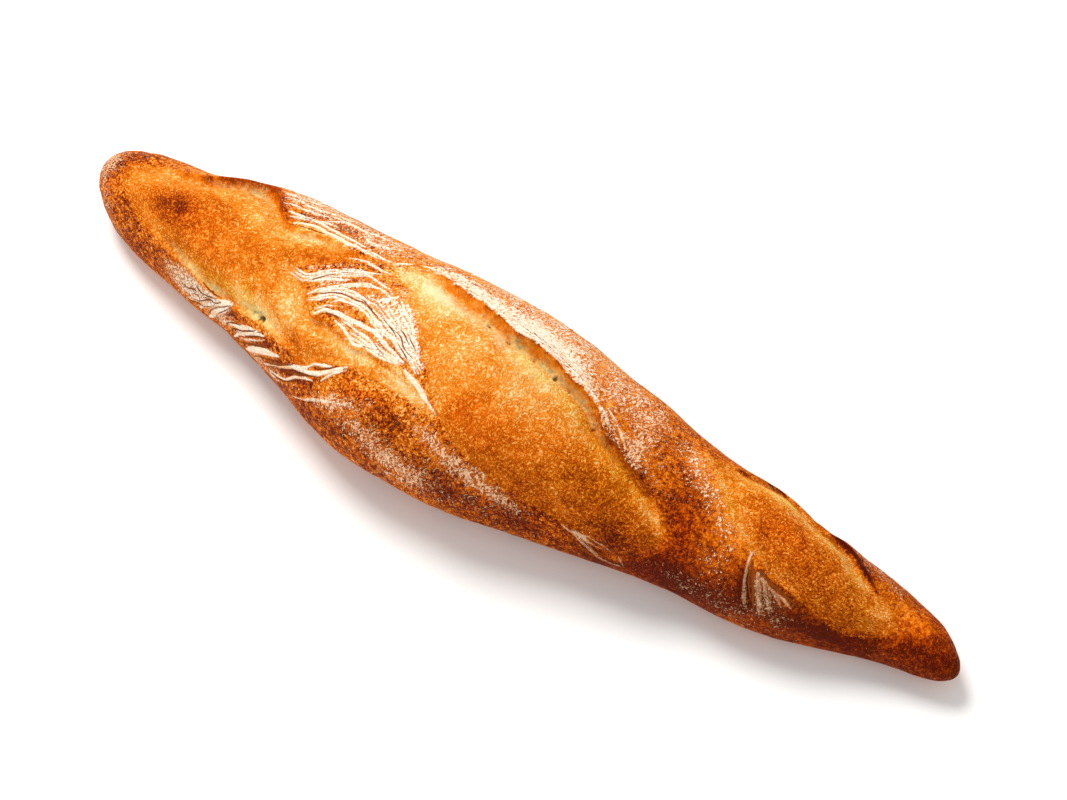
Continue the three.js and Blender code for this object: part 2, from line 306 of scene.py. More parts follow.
TEARS = {
    name: rounded_line(points)
    for name, points in (
        ("left_ear", LEFT_EAR), ("flap_top", FLAP_TOP), ("flap_lip", FLAP_LIP), ("flap_side", FLAP_SIDE),
        ("left_foot", LEFT_FOOT), ("middle_ear", MIDDLE_EAR), ("middle_foot", MIDDLE_FOOT),
        ("right_ear", RIGHT_EAR), ("right_foot", RIGHT_FOOT),
    )
}
OPENINGS = (
    ("left_ear", "flap_top", "flap_lip", "left_foot"),
    ("middle_ear", "middle_foot", "flap_side"),
    ("right_ear", "right_foot"),
)
FAR = 40.0  # a line further away than this isn't measured
TINY = 1e-6


def degree_length(x):
    """Length on the skin, at x, of one degree round the loaf."""
    return np.radians(1.0) * skin_radius(x)


def nearest_on_line(line, x, angle, degree, reach=FAR):
    """For points on the skin, the nearest point of a line: the distance to it, the side it is
    passed on (+1 on the right), the way there along x and round the loaf, and the line's further
    columns there. Angles count as lengths by the length of a degree at the point. Past the reach
    nothing is measured, and the distance is the reach."""
    distance = np.full(x.shape, reach)
    side = np.ones(x.shape)
    way = np.zeros(x.shape + (2,))
    columns = np.zeros(x.shape + (line.shape[1] - 2,))
    low, high = line[:, :2].min(axis=0), line[:, :2].max(axis=0)
    near = (x > low[0] - reach) & (x < high[0] + reach)
    near &= ((angle - high[1]) * degree < reach) & ((low[1] - angle) * degree < reach)
    px, pa, scale = x[near], angle[near], degree[near]
    best = np.full(px.shape, reach)
    best_side = np.ones(px.shape)
    best_way = np.zeros(px.shape + (2,))
    best_columns = np.zeros(px.shape + (line.shape[1] - 2,))
    for start, end in zip(line[:-1], line[1:]):
        line_x, line_y = end[0] - start[0], (end[1] - start[1]) * scale
        to_x, to_y = px - start[0], (pa - start[1]) * scale
        share = np.clip((to_x * line_x + to_y * line_y) / (line_x**2 + line_y**2), 0.0, 1.0)
        off_x, off_y = to_x - share * line_x, to_y - share * line_y
        off = np.hypot(off_x, off_y)
        closer = off < best
        best[closer] = off[closer]
        best_side[closer] = np.where(to_x * line_y - to_y * line_x >= 0, 1.0, -1.0)[closer]
        length = np.maximum(off, TINY)
        best_way[closer] = np.stack([off_x / length, off_y / length], axis=-1)[closer]
        best_columns[closer] = (start[2:] + share[:, None] * (end[2:] - start[2:]))[closer]
    distance[near], side[near], way[near], columns[near] = best, best_side, best_way, best_columns
    return distance, side, way, columns


def inside_outline(outline, x, angle):
    """Whether points lie inside an outline: a ray along x crosses it an odd number of times."""
    inside = np.zeros(x.shape, bool)
    for a, b in zip(outline, np.roll(outline, 1, axis=0)):
        if a[1] == b[1]:
            continue
        crosses = (a[1] > angle) != (b[1] > angle)
        inside ^= crosses & (x < (b[0] - a[0]) * (angle - a[1]) / (b[1] - a[1]) + a[0])
    return inside


RAG_SIZES = ((6.0, 0.7), (2.2, 0.35))  # size and reach of the waver in the torn edges
RAG_SEEDS = (11, 21)  # the first of those along the loaf and of those round it
RAG_RADIUS = 3.0  # a thinner tip wavers as one of this radius


def ragged_place(x, angle, share=1.0):
    """The place with a share of the torn edges' waver: noise on the body moves it along and round."""
    points = body_points(x, angle)
    moved_x, moved_round = x, 0.0
    for i, (size, reach) in enumerate(RAG_SIZES):
        moved_x = moved_x + share * reach * lattice_noise(points, size, RAG_SEEDS[0] + i)
        moved_round = moved_round + share * reach * lattice_noise(points, size, RAG_SEEDS[1] + i)
    return moved_x, angle + np.degrees(moved_round / np.maximum(skin_radius(x), RAG_RADIUS))


# Skin of the floured dough that was pulled into strips as it opened: half width, line of x, angle.
STRIPS = [
    (0.50, [[-65.8, 76], [-62.5, 81], [-59.1, 86], [-55.7, 90]]),
    (0.32, [[-59.1, 94], [-55.3, 98], [-51, 101], [-47.5, 104]]),
    (0.35, [[-55.3, 74], [-53.1, 78], [-50.1, 80]]),
    (0.28, [[-58.3, 66], [-56.1, 71], [-53.1, 74]]),
    (0.62, [[-57.4, 64], [-56.1, 68], [-54, 70], [-50.1, 72], [-45.7, 73], [-42.2, 74], [-38.7, 74],
        [-36, 74], [-32.9, 72], [-29.3, 70], [-26.2, 69], [-23, 67]]),
    (0.42, [[-50.1, 68], [-46.6, 68], [-43.1, 66], [-40, 64], [-35.6, 66], [-31.5, 66]]),
    (0.38, [[-48.4, 70], [-44.9, 71], [-41.8, 70], [-38.2, 70], [-34.2, 68], [-31.5, 68]]),
    (0.70, [[-41.8, 90], [-39.6, 92], [-37.3, 96]]),
    (0.75, [[-21.6, 64], [-18.5, 62], [-15.3, 60], [-12.1, 57], [-10.3, 55]]),
    (0.35, [[-10.7, 56], [-8.4, 53], [-6.2, 51]]),
    (0.62, [[-83.6, 102], [-80.5, 106], [-76.9, 109], [-72, 109], [-67.9, 110], [-63.7, 110], [-60.8, 112],
        [-57.4, 112], [-53.1, 112]]),
    (0.55, [[-85.9, 105], [-84, 108], [-80.1, 113], [-75.7, 114], [-71.6, 114], [-67.5, 114], [-63.3, 115],
        [-58.7, 116]]),
    (0.48, [[-87.5, 108], [-85.1, 110], [-82, 112], [-78.5, 114], [-74.9, 118], [-70.4, 119]]),
    (0.45, [[-90.5, 112], [-88.6, 115], [-85.5, 117], [-82.4, 120], [-79.7, 122], [-76.9, 124]]),
    (0.42, [[-92, 118], [-90.5, 121], [-87.5, 124], [-84, 124], [-80.1, 128], [-77.3, 132], [-73.6, 135],
        [-70.8, 138], [-67.9, 146]]),
    (0.40, [[-93.5, 122], [-90.9, 126], [-87.8, 130], [-84, 135], [-81.2, 140], [-76.9, 141]]),
    (0.35, [[-94.6, 124], [-92.4, 126], [-89.7, 132], [-86.3, 140], [-82.4, 146]]),
    (0.52, [[-76.1, 118], [-72.8, 126], [-69.6, 130], [-65.8, 131], [-61.2, 128]]),
    (0.38, [[-76.9, 128], [-72, 130], [-68.7, 132], [-65, 132], [-60.4, 134], [-56.6, 136], [-53.5, 136]]),
    (0.40, [[-63.7, 126], [-60, 122], [-56.1, 124], [-52.3, 128]]),
    (0.40, [[-61.6, 111], [-55.7, 114], [-51.8, 114], [-47.9, 116]]),
    (0.35, [[-59.5, 119], [-56.1, 123], [-52.3, 128], [-49.2, 132]]),
    (0.35, [[-60.4, 103], [-56.6, 105], [-52.7, 106], [-48.4, 106], [-44.9, 107]]),
    (0.45, [[-47.5, 115], [-45.3, 119], [-42.7, 122]]),
    (0.45, [[-39.6, 124], [-36.5, 124], [-33.8, 124]]),
    (0.65, [[-30.7, 128], [-28, 129], [-26.2, 131]]),
    (1.30, [[-99, -9], [-92.4, 12], [-89, 24]]),
    (0.95, [[-102.5, -4], [-96.8, 10], [-92.4, 20], [-89.7, 24]]),
    (0.55, [[-110, 6], [-105.3, 12], [-100.7, 16]]),
    (0.50, [[-108, -2], [-102.2, 6], [-97.2, 14]]),
    (1.00, [[-91.2, 0], [-85.1, 10], [-80.5, 17], [-75.7, 24]]),
    (0.65, [[-86.7, -5], [-81.6, 9], [-75.7, 21], [-72, 26]]),
    (0.32, [[-85.5, 2], [-80.1, 16], [-74.5, 26]]),
    (0.32, [[-83.6, -1], [-77.3, 12], [-71.6, 24]]),
    (1.15, [[-80.8, -5], [-74.9, 7], [-69.2, 17], [-64.2, 23]]),
    (0.70, [[-70.8, 1], [-65, 13], [-60, 21], [-55.3, 28], [-50.5, 33], [-46.6, 38], [-43.5, 43],
        [-40.5, 48], [-39.1, 51]]),
    (0.42, [[-57.4, 27], [-53.1, 33], [-49.7, 40], [-45.7, 44], [-42.7, 46], [-40, 49]]),
    (0.48, [[-67.9, 0], [-63.7, 5], [-59.5, 11], [-55.7, 20], [-51.4, 27], [-48.8, 30]]),
    (0.38, [[-45.7, 34], [-43.5, 40], [-40.9, 45], [-38.7, 49]]),
    (0.30, [[-51.8, 8], [-46.6, 18], [-41.3, 25]]),
    (0.32, [[-70.8, -2], [-67.5, -2], [-63.3, 0]]),
    (0.28, [[-57, -1], [-50.1, 11], [-44.9, 19], [-39.6, 26], [-35.1, 30], [-31.5, 32]]),
    (0.42, [[39.1, 17], [41.3, 15], [43.5, 13], [46.2, 8], [48.8, 2], [51.4, -2], [53.1, -4]]),
    (0.45, [[41.3, 14], [44, 15], [46.6, 12], [49.2, 9], [52.3, 8]]),
    (0.42, [[44, 12], [47, 8], [49.7, 2], [51.8, -2], [54.4, -5]]),
    (0.30, [[42.7, 17], [45.3, 14], [47.9, 16], [50.5, 15], [52.7, 16], [55.7, 11]]),
    (0.35, [[53.5, -3], [56.1, -5], [58.7, -4]]),
    (0.28, [[57, 7], [58.3, 0], [59.1, -2]]),
    (0.42, [[92.7, 68], [93.1, 60], [93.9, 52], [95, 41], [96.1, 29], [97.5, 20]]),
    (0.28, [[92, 69], [93.1, 63], [93.9, 56]]),
    (1.00, [[97.2, 56], [98.6, 47], [100.7, 35], [102.2, 20]]),
    (0.95, [[99, 55], [101.1, 48], [103.2, 38], [104.6, 25]]),
    (0.60, [[101.8, 50], [104.3, 46], [107, 37]]),
    (0.45, [[104.6, 47], [107.3, 44], [109.7, 39]]),
    (0.30, [[95.7, 40], [96.8, 28], [98.6, 18]]),
    (0.50, [[-20.7, 117], [-16.6, 116], [-13, 116], [-8.4, 114]]),
    (0.50, [[-7.5, 114], [-2.5, 110], [2.1, 109], [6.2, 109], [10.3, 108], [14.4, 106]]),
    (0.50, [[-3.9, 114], [1.6, 112], [6.2, 111], [10.3, 112], [15.3, 109], [20.3, 107], [25.3, 104]]),
    (0.40, [[-1.6, 115], [2.5, 114], [6.6, 116], [10.3, 114]]),
    (0.38, [[-16.2, 119], [-12.1, 120], [-7.5, 119], [-3.4, 120]]),
    (0.48, [[-26.6, 118], [-24.4, 120], [-22.1, 119]]),
    (0.42, [[-31.1, 127], [-28, 128], [-25.7, 129]]),
    (0.38, [[-26.2, 127], [-22.5, 130], [-18.5, 129]]),
    (0.38, [[32.9, 98], [35.6, 95], [37.8, 92]]),
    (0.38, [[39.6, 94], [42.7, 90], [45.7, 85]]),
    (0.28, [[34.2, 100], [36.5, 98], [39.1, 96]]),
    (0.35, [[25.7, 104], [28.9, 102], [31.5, 100]]),
    (0.28, [[14.8, 114], [19.8, 112], [25.7, 108]]),
    (0.28, [[6.6, 120], [12.6, 118], [18, 114]]),
    (0.30, [[-60.5, 73], [-57, 78], [-53, 81.5], [-49, 83]]),
    (0.28, [[-52, 93], [-47, 95], [-42, 95], [-38, 92]]),
    (0.28, [[-55, 100], [-50, 99], [-45, 98], [-41, 97]]),
    (0.26, [[-46, 88.5], [-42, 89], [-38.5, 86]]),
    (0.26, [[-33, 94], [-29.5, 89], [-26, 83.5]]),
]

# Broader bands of it that tore into strips side by side: half width of one, how many, the degrees
# between them, the band's middle line.
BANDS = (
    (0.34, 3, 2.1, [[-73.2, 76], [-67.1, 77], [-64.2, 83], [-61.2, 88], [-57.8, 92], [-54.4, 96],
        [-50.5, 100]]),
    (0.30, 2, 1.9, [[-61.2, 76], [-58.7, 80], [-55.3, 86], [-51.8, 91], [-47.5, 94]]),
    (0.36, 2, 2.1, [[-63.3, 71], [-60.8, 76], [-57.4, 80], [-54, 84], [-49.7, 86], [-45.7, 86],
        [-42.7, 86]]),
    (0.36, 2, 2.0, [[-62.1, 68], [-59.5, 72], [-56.1, 78], [-52.3, 80], [-48.4, 82], [-45.3, 82],
        [-41.8, 81], [-38.2, 78], [-34.2, 76], [-30.2, 75], [-26.2, 72], [-21.2, 69]]),
    (0.34, 3, 1.9, [[-43.5, 68], [-39.6, 68], [-35.6, 67], [-30.7, 66], [-26.6, 66], [-23.9, 66]]),
    (0.36, 3, 2.2, [[-44, 85], [-37.8, 82], [-32, 78], [-26.2, 74], [-21.2, 70], [-17.6, 66]]),
    (0.36, 3, 2.2, [[-40.5, 88], [-34.7, 84], [-29.3, 80], [-24.4, 76], [-19.8, 70], [-17.6, 68]]),
    (0.36, 2, 2.1, [[-36.9, 94], [-32.4, 89], [-27.5, 84], [-23, 78], [-19.8, 72]]),
)
BAND_STAGGER = 0.5


def side_by_side(half_width, count, gap, line):
    """A band's strips: its line repeated, gap degrees apart. Each starts and ends a little further
    along than the one before, and over the line's second half the gap shrinks evenly to half."""
    strips = []
    for i in range(count):
        offset = gap * (i - (count - 1) / 2)
        strip = []
        for j, (x, angle) in enumerate(line):
            closing = min(1.0, 1.5 - j / (len(line) - 1))
            stagger = BAND_STAGGER * i if j in (0, len(line) - 1) else 0.0
            strip.append([x + stagger, round(angle + closing * offset, 1)])
        strips.append((half_width, strip))
    return strips


for band in BANDS:
    STRIPS += side_by_side(*band)

# Thin cracks in the baked skin, down to the dough: half width, line of x, angle.
CRACKS = (
    (0.13, [[-65.8, 76], [-63.3, 82], [-60.8, 87], [-58.7, 89]]),
    (0.10, [[-58.7, 92], [-55.3, 96]]),
    (0.14, [[-62.5, 70], [-60.4, 74], [-57, 79], [-53.5, 82], [-49.2, 84], [-45.3, 85], [-41.8, 84]]),
    (0.10, [[-57.4, 69], [-55.3, 71], [-52.7, 72]]),
    (0.17, [[-56.6, 62], [-55.7, 66], [-53.1, 69], [-50.1, 70], [-47, 70]]),
    (0.12, [[-50.5, 85], [-46.6, 86], [-43.5, 84], [-39.1, 82], [-35.1, 80]]),
    (0.10, [[-41.3, 86], [-37.8, 84], [-35.6, 83]]),
    (0.15, [[-32.9, 80], [-28.4, 78], [-25.3, 74], [-21.2, 71]]),
    (0.13, [[-32, 82], [-28, 80], [-24.8, 77]]),
    (0.13, [[-28.4, 82], [-23.9, 78], [-21.2, 75]]),
    (0.15, [[-28.4, 75], [-24.8, 72], [-21.2, 68]]),
    (0.10, [[-36.5, 70], [-32.9, 68], [-29.3, 66]]),
    (0.10, [[-47.5, 70], [-43.5, 70], [-39.6, 69]]),
    (0.10, [[-41.8, 65], [-37.3, 65], [-33.3, 66]]),
    (0.12, [[-36.5, 82], [-32, 79], [-28.9, 76]]),
    (0.12, [[-83.2, 110], [-80.1, 113], [-77.7, 115]]),
    (0.10, [[-91.2, 114], [-87.8, 114], [-85.9, 117]]),
    (0.10, [[-80.1, 127], [-76.5, 129], [-73.2, 132]]),
    (0.16, [[-82.4, 100], [-79.7, 104], [-75.7, 106], [-72, 108]]),
    (0.11, [[-73.2, 117], [-68.7, 121], [-64.6, 125]]),
    (0.11, [[-71.6, 134], [-67.9, 136], [-65, 136]]),
    (0.10, [[-92.4, 123], [-88.6, 126], [-85.1, 127]]),
    (0.30, [[-110.7, 10], [-107.7, 9], [-104.3, 14], [-101.5, 12]]),
    (0.27, [[-107.7, 0], [-103.2, 2], [-98.2, 13], [-95.3, 14], [-92.7, 20]]),
    (0.25, [[-103.2, 20], [-101.5, 16], [-98.6, 16], [-95, 19]]),
    (0.25, [[-110, 2], [-108.3, -6], [-102.9, 0]]),
    (0.25, [[-101.5, 26], [-97.2, 22], [-93.5, 22]]),
    (0.17, [[-98.6, -3], [-93.9, 12], [-89.7, 21], [-88.2, 25]]),
    (0.17, [[-96.8, -6], [-91.6, 12], [-87.8, 24]]),
    (0.25, [[-105.3, -3], [-100, 1], [-95.7, 10]]),
    (0.28, [[-91.2, -2], [-86.3, 10], [-82.8, 16]]),
    (0.26, [[-90.5, -8], [-84.8, 6], [-78.5, 18], [-75.7, 25]]),
    (0.28, [[-79.7, 9], [-75.7, 19], [-71.6, 26]]),
    (0.35, [[-86.3, -10], [-79.7, 2], [-73.6, 14], [-69.6, 20]]),
    (0.32, [[-78.5, -6], [-70.8, 7], [-62.9, 21]]),
    (0.28, [[-70.8, 3], [-63.7, 16], [-57.8, 26]]),
    (0.24, [[-48.4, 38], [-44.4, 44], [-41.3, 49]]),
    (0.32, [[-62.1, 13], [-57.4, 20], [-51.4, 30], [-48.4, 33]]),
    (0.28, [[-67.9, -1], [-63.7, 1], [-59.1, 10], [-53.5, 22]]),
    (0.12, [[42.7, 13], [45.7, 10], [48.4, 2], [50.5, -2]]),
    (0.12, [[46.6, 16], [49.7, 14], [52.3, 14]]),
    (0.12, [[48.4, 12], [51, 6], [53.5, 1]]),
    (0.12, [[45.3, 12], [47.9, 7], [50.1, 1], [52.3, -2]]),
    (0.24, [[41.3, 8], [44.9, 2], [47.9, -2], [49.7, -6]]),
    (0.42, [[94.2, 62], [95.7, 54], [97.2, 44], [99, 31], [100.4, 19]]),
    (0.24, [[93.9, 58], [95.3, 49], [96.8, 38], [98.6, 28]]),
    (0.38, [[97.2, 59], [99.3, 56], [102.5, 53], [106, 49], [109, 46], [111.3, 42]]),
    (0.12, [[98.6, 52], [100.7, 42], [102.5, 31]]),
    (0.12, [[100.4, 52], [102.9, 42], [104.9, 32]]),
    (0.12, [[97.2, 52], [98.6, 42], [100.4, 32]]),
    (0.10, [[-14.8, 118], [-10.7, 116], [-8, 115]]),
    (0.10, [[-4.3, 116], [0.7, 114], [4.8, 112]]),
    (0.11, [[0.2, 116], [5.3, 113], [8.4, 113], [12.6, 113]]),
    (0.12, [[8.4, 112], [13.9, 110], [18.9, 108], [23, 107]]),
    (0.10, [[13.9, 110], [20.3, 108], [24.8, 106]]),
    (0.10, [[3.9, 117], [8.4, 116], [13.5, 114]]),
    (0.09, [[19.4, 114], [23.9, 110], [28, 106]]),
)

# Small bubbles that rose under the skin, and pits in the torn crumb: x, angle, radius, height.
BUBBLES = (
    (-51, 75, 1.7, 0.35), (-46, 74, 1.4, 0.3), (-35, 76, 0.9, 0.25), (-39, 66, 0.8, 0.2),
    (106, 88, 0.7, 0.25), (95, 93, 0.6, 0.2), (-20, 44, 1.0, 0.3), (-84, 47, 1.8, 0.25),
    (66, 30, 1.1, 0.25), (78, 44, 0.9, 0.2), (-132, 40, 1.0, 0.25), (-141, 62, 0.9, 0.2),
    (18, 12, 1.1, 0.25), (-8, 10, 1.3, 0.3), (44, 128, 1.1, 0.25), (8, 150, 1.4, 0.3),
    (-30, 158, 1.2, 0.25), (60, 170, 1.2, 0.3), (-72, 175, 1.3, 0.3), (-10, 190, 1.5, 0.3),
    (110, 185, 1.0, 0.25), (-115, 190, 1.2, 0.25), (145, 110, 0.9, 0.2), (30, 205, 1.2, 0.25),
)
PITS = (
    (-113, 126, 0.8, 0.5), (-107, 121, 1.1, 0.7), (-103, 121, 1.0, 0.7), (-76, 33, 2.1, 1.6),
    (-80, 33, 0.9, 0.5), (-20, 109, 0.7, 0.6), (-9, 106, 1.0, 0.8), (-1, 104, 1.2, 0.8), (9, 102, 0.9, 0.7),
    (17, 100, 1.2, 0.9), (22, 98, 0.8, 0.6), (35, 87, 1.1, 0.9), (41, 83, 0.9, 0.7), (48, 76, 0.8, 0.5),
    (-97, 22, 0.9, 0.5), (-105, 28, 0.8, 0.4), (83, 142, 0.8, 0.5), (112, 130, 0.9, 0.6),
    (119, 116, 1.0, 0.7),
)
SKIN_SPRING = 6.0  # behind an ear, how far its lift reaches, and how far its lean
LIP_SPRING = 1.8
LIP_LEAN = 0.2  # how far a lip leans over the dough, as a share of its lift
LIP_RUN = 0.6  # under it, the lean dies out over this share of the torn face's width
TEAR_WIDTH = 2.1  # the torn face, from the lip down to the valley
VALLEY_WIDTH = 3.2
VALLEY_DEPTH = 0.5  # as a share of the lift
BULGE = 2.2  # how far the dough swells, and how far inside the opening it has done so
BULGE_RUN = 7.0
RELIEF_FLOOR = 10.0  # all relief is whole at this height, and at this share of the full section
RELIEF_TIP = 0.6
LUMPS = ((30.0, 0.7), (11.0, 0.30), (4.0, 0.14), (1.8, 0.07))  # size and height of uneven lumps
LUMP_SEED = 31
STRIP_HEIGHT = 0.28
STRIP_EDGE = (-0.2, 0.3)  # from where to where inside its line a strip rises
CRACK_DEPTH = 0.28
CRACK_EDGE = (-0.25, 0.1)
MARK_TAPER = 0.6  # share of a mark's width lost at its two ends
MARK_REACH = 3.0
MARK_WAVER = 0.35  # share of the torn edges' waver that strips and cracks have


def tear_fields(x, angle):
    """For every tear, by its name: the distance to it, the side (+1 on the dough), the way, its lift."""
    degree = degree_length(x)
    return {name: nearest_on_line(line, x, angle, degree) for name, line in TEARS.items()}


def opened(fields, x, angle):
    """Distance inside each opening, and minus the distance outside it."""
    depth = np.full(x.shape, -FAR)
    for names in OPENINGS:
        outline = np.concatenate([TEARS[name] for name in names])
        nearest = np.min([fields[name][0] for name in names], axis=0)
        inside = inside_outline(outline, x, angle)
        depth = np.maximum(depth, np.where(inside, nearest, -nearest))
    return depth


def inside_marks(marks, x, angle):
    """How far inside the nearest mark a point lies, in millimetres, negative outside: the mark's
    half width, less towards its two ends, minus the distance to its line."""
    inside = np.full(x.shape, -MARK_REACH)
    degree = degree_length(x)
    for half_width, points in marks:
        along = np.linspace(-1.0, 1.0, len(points))
        line = rounded_line(np.column_stack([points, half_width * (1.0 - MARK_TAPER * np.abs(along) ** 3)]))
        distance, _, _, columns = nearest_on_line(line, x, angle, degree, MARK_REACH)
        inside = np.maximum(inside, np.where(distance < MARK_REACH, columns[..., 0] - distance, -MARK_REACH))
    return inside


def spots(rows, x, angle):
    """Rounded spots, each as high as its row says at the middle and fallen to 0 at its radius as
    (1 - (distance / radius)^2)^2."""
    height = np.zeros(x.shape)
    degree = degree_length(x)
    for spot_x, spot_angle, radius, rise in rows:
        off = ((x - spot_x) ** 2 + ((angle - spot_angle) * degree) ** 2) / radius**2
        height += rise * np.clip(1.0 - off, 0.0, None) ** 2
    return height


def loaf_points(x, angle):
    """Points of the finished loaf: the body, moved out of its skin by the tears' relief, the
    opened dough's bulge, strips, cracks, bubbles, pits and uneven lumps, and along the skin by
    the leaning lips."""
    step = 0.5  # to either side, in millimetres and in degrees, for the directions of the skin
    inner = np.clip(x, -LENGTH / 2 + step, LENGTH / 2 - step)
    along = body_points(inner + step, angle) - body_points(inner - step, angle)
    around = body_points(inner, angle + step) - body_points(inner, angle - step)
    along /= np.linalg.norm(along, axis=-1, keepdims=True)
    around /= np.maximum(np.linalg.norm(around, axis=-1, keepdims=True), TINY)
    out = np.cross(along, around)
    out /= np.maximum(np.linalg.norm(out, axis=-1, keepdims=True), TINY)
    points = body_points(x, angle)
    worn_x, worn_angle = ragged_place(x, angle)
    fields = tear_fields(worn_x, worn_angle)
    move_out = np.zeros(x.shape)
    move = np.zeros(x.shape + (2,))
    for distance, side, way, columns in fields.values():
        lift = columns[..., 0]
        behind = side < 0
        fallen = smoothstep(distance, 0.0, TEAR_WIDTH)
        valley = np.exp(-(((distance - TEAR_WIDTH) / VALLEY_WIDTH) ** 2))
        move_out += np.where(
            behind,
            lift * np.exp(-distance / SKIN_SPRING),
            lift * (1 - fallen) - VALLEY_DEPTH * lift * valley * fallen,
        )
        lean = np.where(
            behind,
            np.exp(-distance / LIP_SPRING),
            1.0 - smoothstep(distance, 0.0, LIP_RUN * TEAR_WIDTH),
        )
        move += (LIP_LEAN * lift * lean * side)[..., None] * way
    depth = opened(fields, worn_x, worn_angle)
    move_out += np.where(depth > 0, BULGE * (1 - np.exp(-((depth / BULGE_RUN) ** 2))), 0.0)
    mark_place = ragged_place(x, angle, MARK_WAVER)
    move_out += STRIP_HEIGHT * smoothstep(inside_marks(STRIPS, *mark_place), *STRIP_EDGE)
    move_out -= CRACK_DEPTH * smoothstep(inside_marks(CRACKS, *mark_place), *CRACK_EDGE)
    move_out += spots(BUBBLES, x, angle) - spots(PITS, worn_x, worn_angle)
    for i, (size, height) in enumerate(LUMPS):
        move_out += height * lattice_noise(points, size, LUMP_SEED + i)
    fade = smoothstep(points[..., 2], 0.0, RELIEF_FLOOR) * smoothstep(tip_rounding(x), 0.0, RELIEF_TIP)
    return (
        points
        + out * (move_out * fade)[..., None]
        + along * (move[..., 0] * fade)[..., None]
        + around * (move[..., 1] * fade)[..., None]
    )


# ---- The crust ------------------------------------------------------------------------------
# One closed skin over the whole loaf, worked out on a fine grid and thinned where it is smooth.
# It is baked bread: golden to dark brown, dusted with flour where the dough's skin was floured.

RINGS = 1000
RING_POINTS = 480
OUTLINE_STEPS = 4001  # the outline is measured in this many, and the rings are spread evenly on it
CREST_DENSITY = 0.06  # how much the points of a ring crowd towards the crest
KEPT_FACES = 196000
EDGE_KEPT = 0.45  # this close to the edge of a strip or crack the grid is kept whole

fine_x = LENGTH / 2 * np.sin(np.pi * (np.linspace(0, 1, OUTLINE_STEPS) - 0.5))
outline_step = np.hypot(np.diff(fine_x), np.diff(station_value(fine_x, 1) * tip_rounding(fine_x)))
travelled = np.concatenate([[0.0], np.cumsum(outline_step)])
ring_x = np.interp(np.linspace(0, travelled[-1], RINGS + 2)[1:-1], travelled, fine_x)
turn = np.arange(RING_POINTS) / RING_POINTS
ring_angle = 360 * (turn + CREST_DENSITY * np.sin(2 * np.pi * turn)) - 90
grid_x, grid_angle = np.meshgrid(ring_x, ring_angle, indexing="ij")
grid = loaf_points(grid_x, grid_angle)
tips = body_points(np.array([-LENGTH / 2, LENGTH / 2]), np.array([0.0, 0.0]))

vertices = np.concatenate([grid.reshape(-1, 3), tips])
at = np.arange(RINGS * RING_POINTS).reshape(RINGS, RING_POINTS)
beside = np.roll(at, -1, axis=1)
quads = np.stack([at[:-1], at[1:], beside[1:], beside[:-1]], axis=-1).reshape(-1, 4)
left_tip = RINGS * RING_POINTS
left_fan = np.stack([np.full(RING_POINTS, left_tip), at[0], beside[0]], axis=-1)
right_fan = np.stack([np.full(RING_POINTS, left_tip + 1), beside[-1], at[-1]], axis=-1)

low, high = vertices.min(axis=0), vertices.max(axis=0)
cad_low, cad_high = np.array(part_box("loaf")) * METRE
shift = (cad_low + cad_high - low - high) / 2
shift[2] = 0.0

mesh = bpy.data.meshes.new("crust")
mesh.vertices.add(len(vertices))
mesh.vertices.foreach_set("co", ((vertices + shift) / METRE).ravel())
corners = np.concatenate([quads.ravel(), left_fan.ravel(), right_fan.ravel()])
sizes = np.concatenate([np.full(len(quads), 4), np.full(2 * RING_POINTS, 3)])
mesh.loops.add(len(corners))
mesh.loops.foreach_set("vertex_index", corners)
mesh.polygons.add(len(sizes))
mesh.polygons.foreach_set("loop_start", np.concatenate([[0], np.cumsum(sizes)[:-1]]))
mesh.polygons.foreach_set("use_smooth", np.ones(len(sizes), bool))
mesh.update(calc_edges=True)


def keep_field(mesh, name, values):
    """Stores one number for each vertex."""
    field = mesh.attributes.new(name, "FLOAT", "POINT").data
    field.foreach_set("value", np.asarray(values, np.float32).ravel())


def read_field(mesh, name):
    """Reads back one number for each vertex."""
    values = np.zeros(len(mesh.vertices), np.float32)
    mesh.attributes[name].data.foreach_get("value", values)
    return values.astype(float)


angles = np.append(grid_angle.ravel(), [90.0, 90.0])
keep_field(mesh, "place", np.append(grid_x.ravel(), [-LENGTH / 2, LENGTH / 2]))
keep_field(mesh, "side", np.cos(np.radians(angles)))
keep_field(mesh, "rise", np.sin(np.radians(angles)))
crust = bpy.data.objects.new("crust", mesh)
bpy.context.scene.collection.objects.link(crust)

mark_place = ragged_place(grid_x, grid_angle, MARK_WAVER)
near_edge = np.abs(inside_marks(STRIPS, *mark_place)) < EDGE_KEPT
near_edge |= inside_marks(CRACKS, *mark_place) > -EDGE_KEPT
kept = crust.vertex_groups.new(name="kept")
kept.add(np.flatnonzero(near_edge.ravel()).tolist(), 1.0, "REPLACE")
thin = crust.modifiers.new("thin", "DECIMATE")
thin.ratio = KEPT_FACES / (2 * len(quads) + 2 * RING_POINTS)
thin.vertex_group = kept.name
thin.invert_vertex_group = True
thin.use_collapse_triangulate = True
crust.data = bpy.data.meshes.new_from_object(crust.evaluated_get(bpy.context.evaluated_depsgraph_get()))
crust.modifiers.clear()
crust.vertex_groups.clear()
crust.data.polygons.foreach_set("use_smooth", np.ones(len(crust.data.polygons), bool))

x = read_field(crust.data, "place")
angle = np.degrees(np.arctan2(read_field(crust.data, "rise"), read_field(crust.data, "side")))
angle = (angle + 90) % 360 - 90

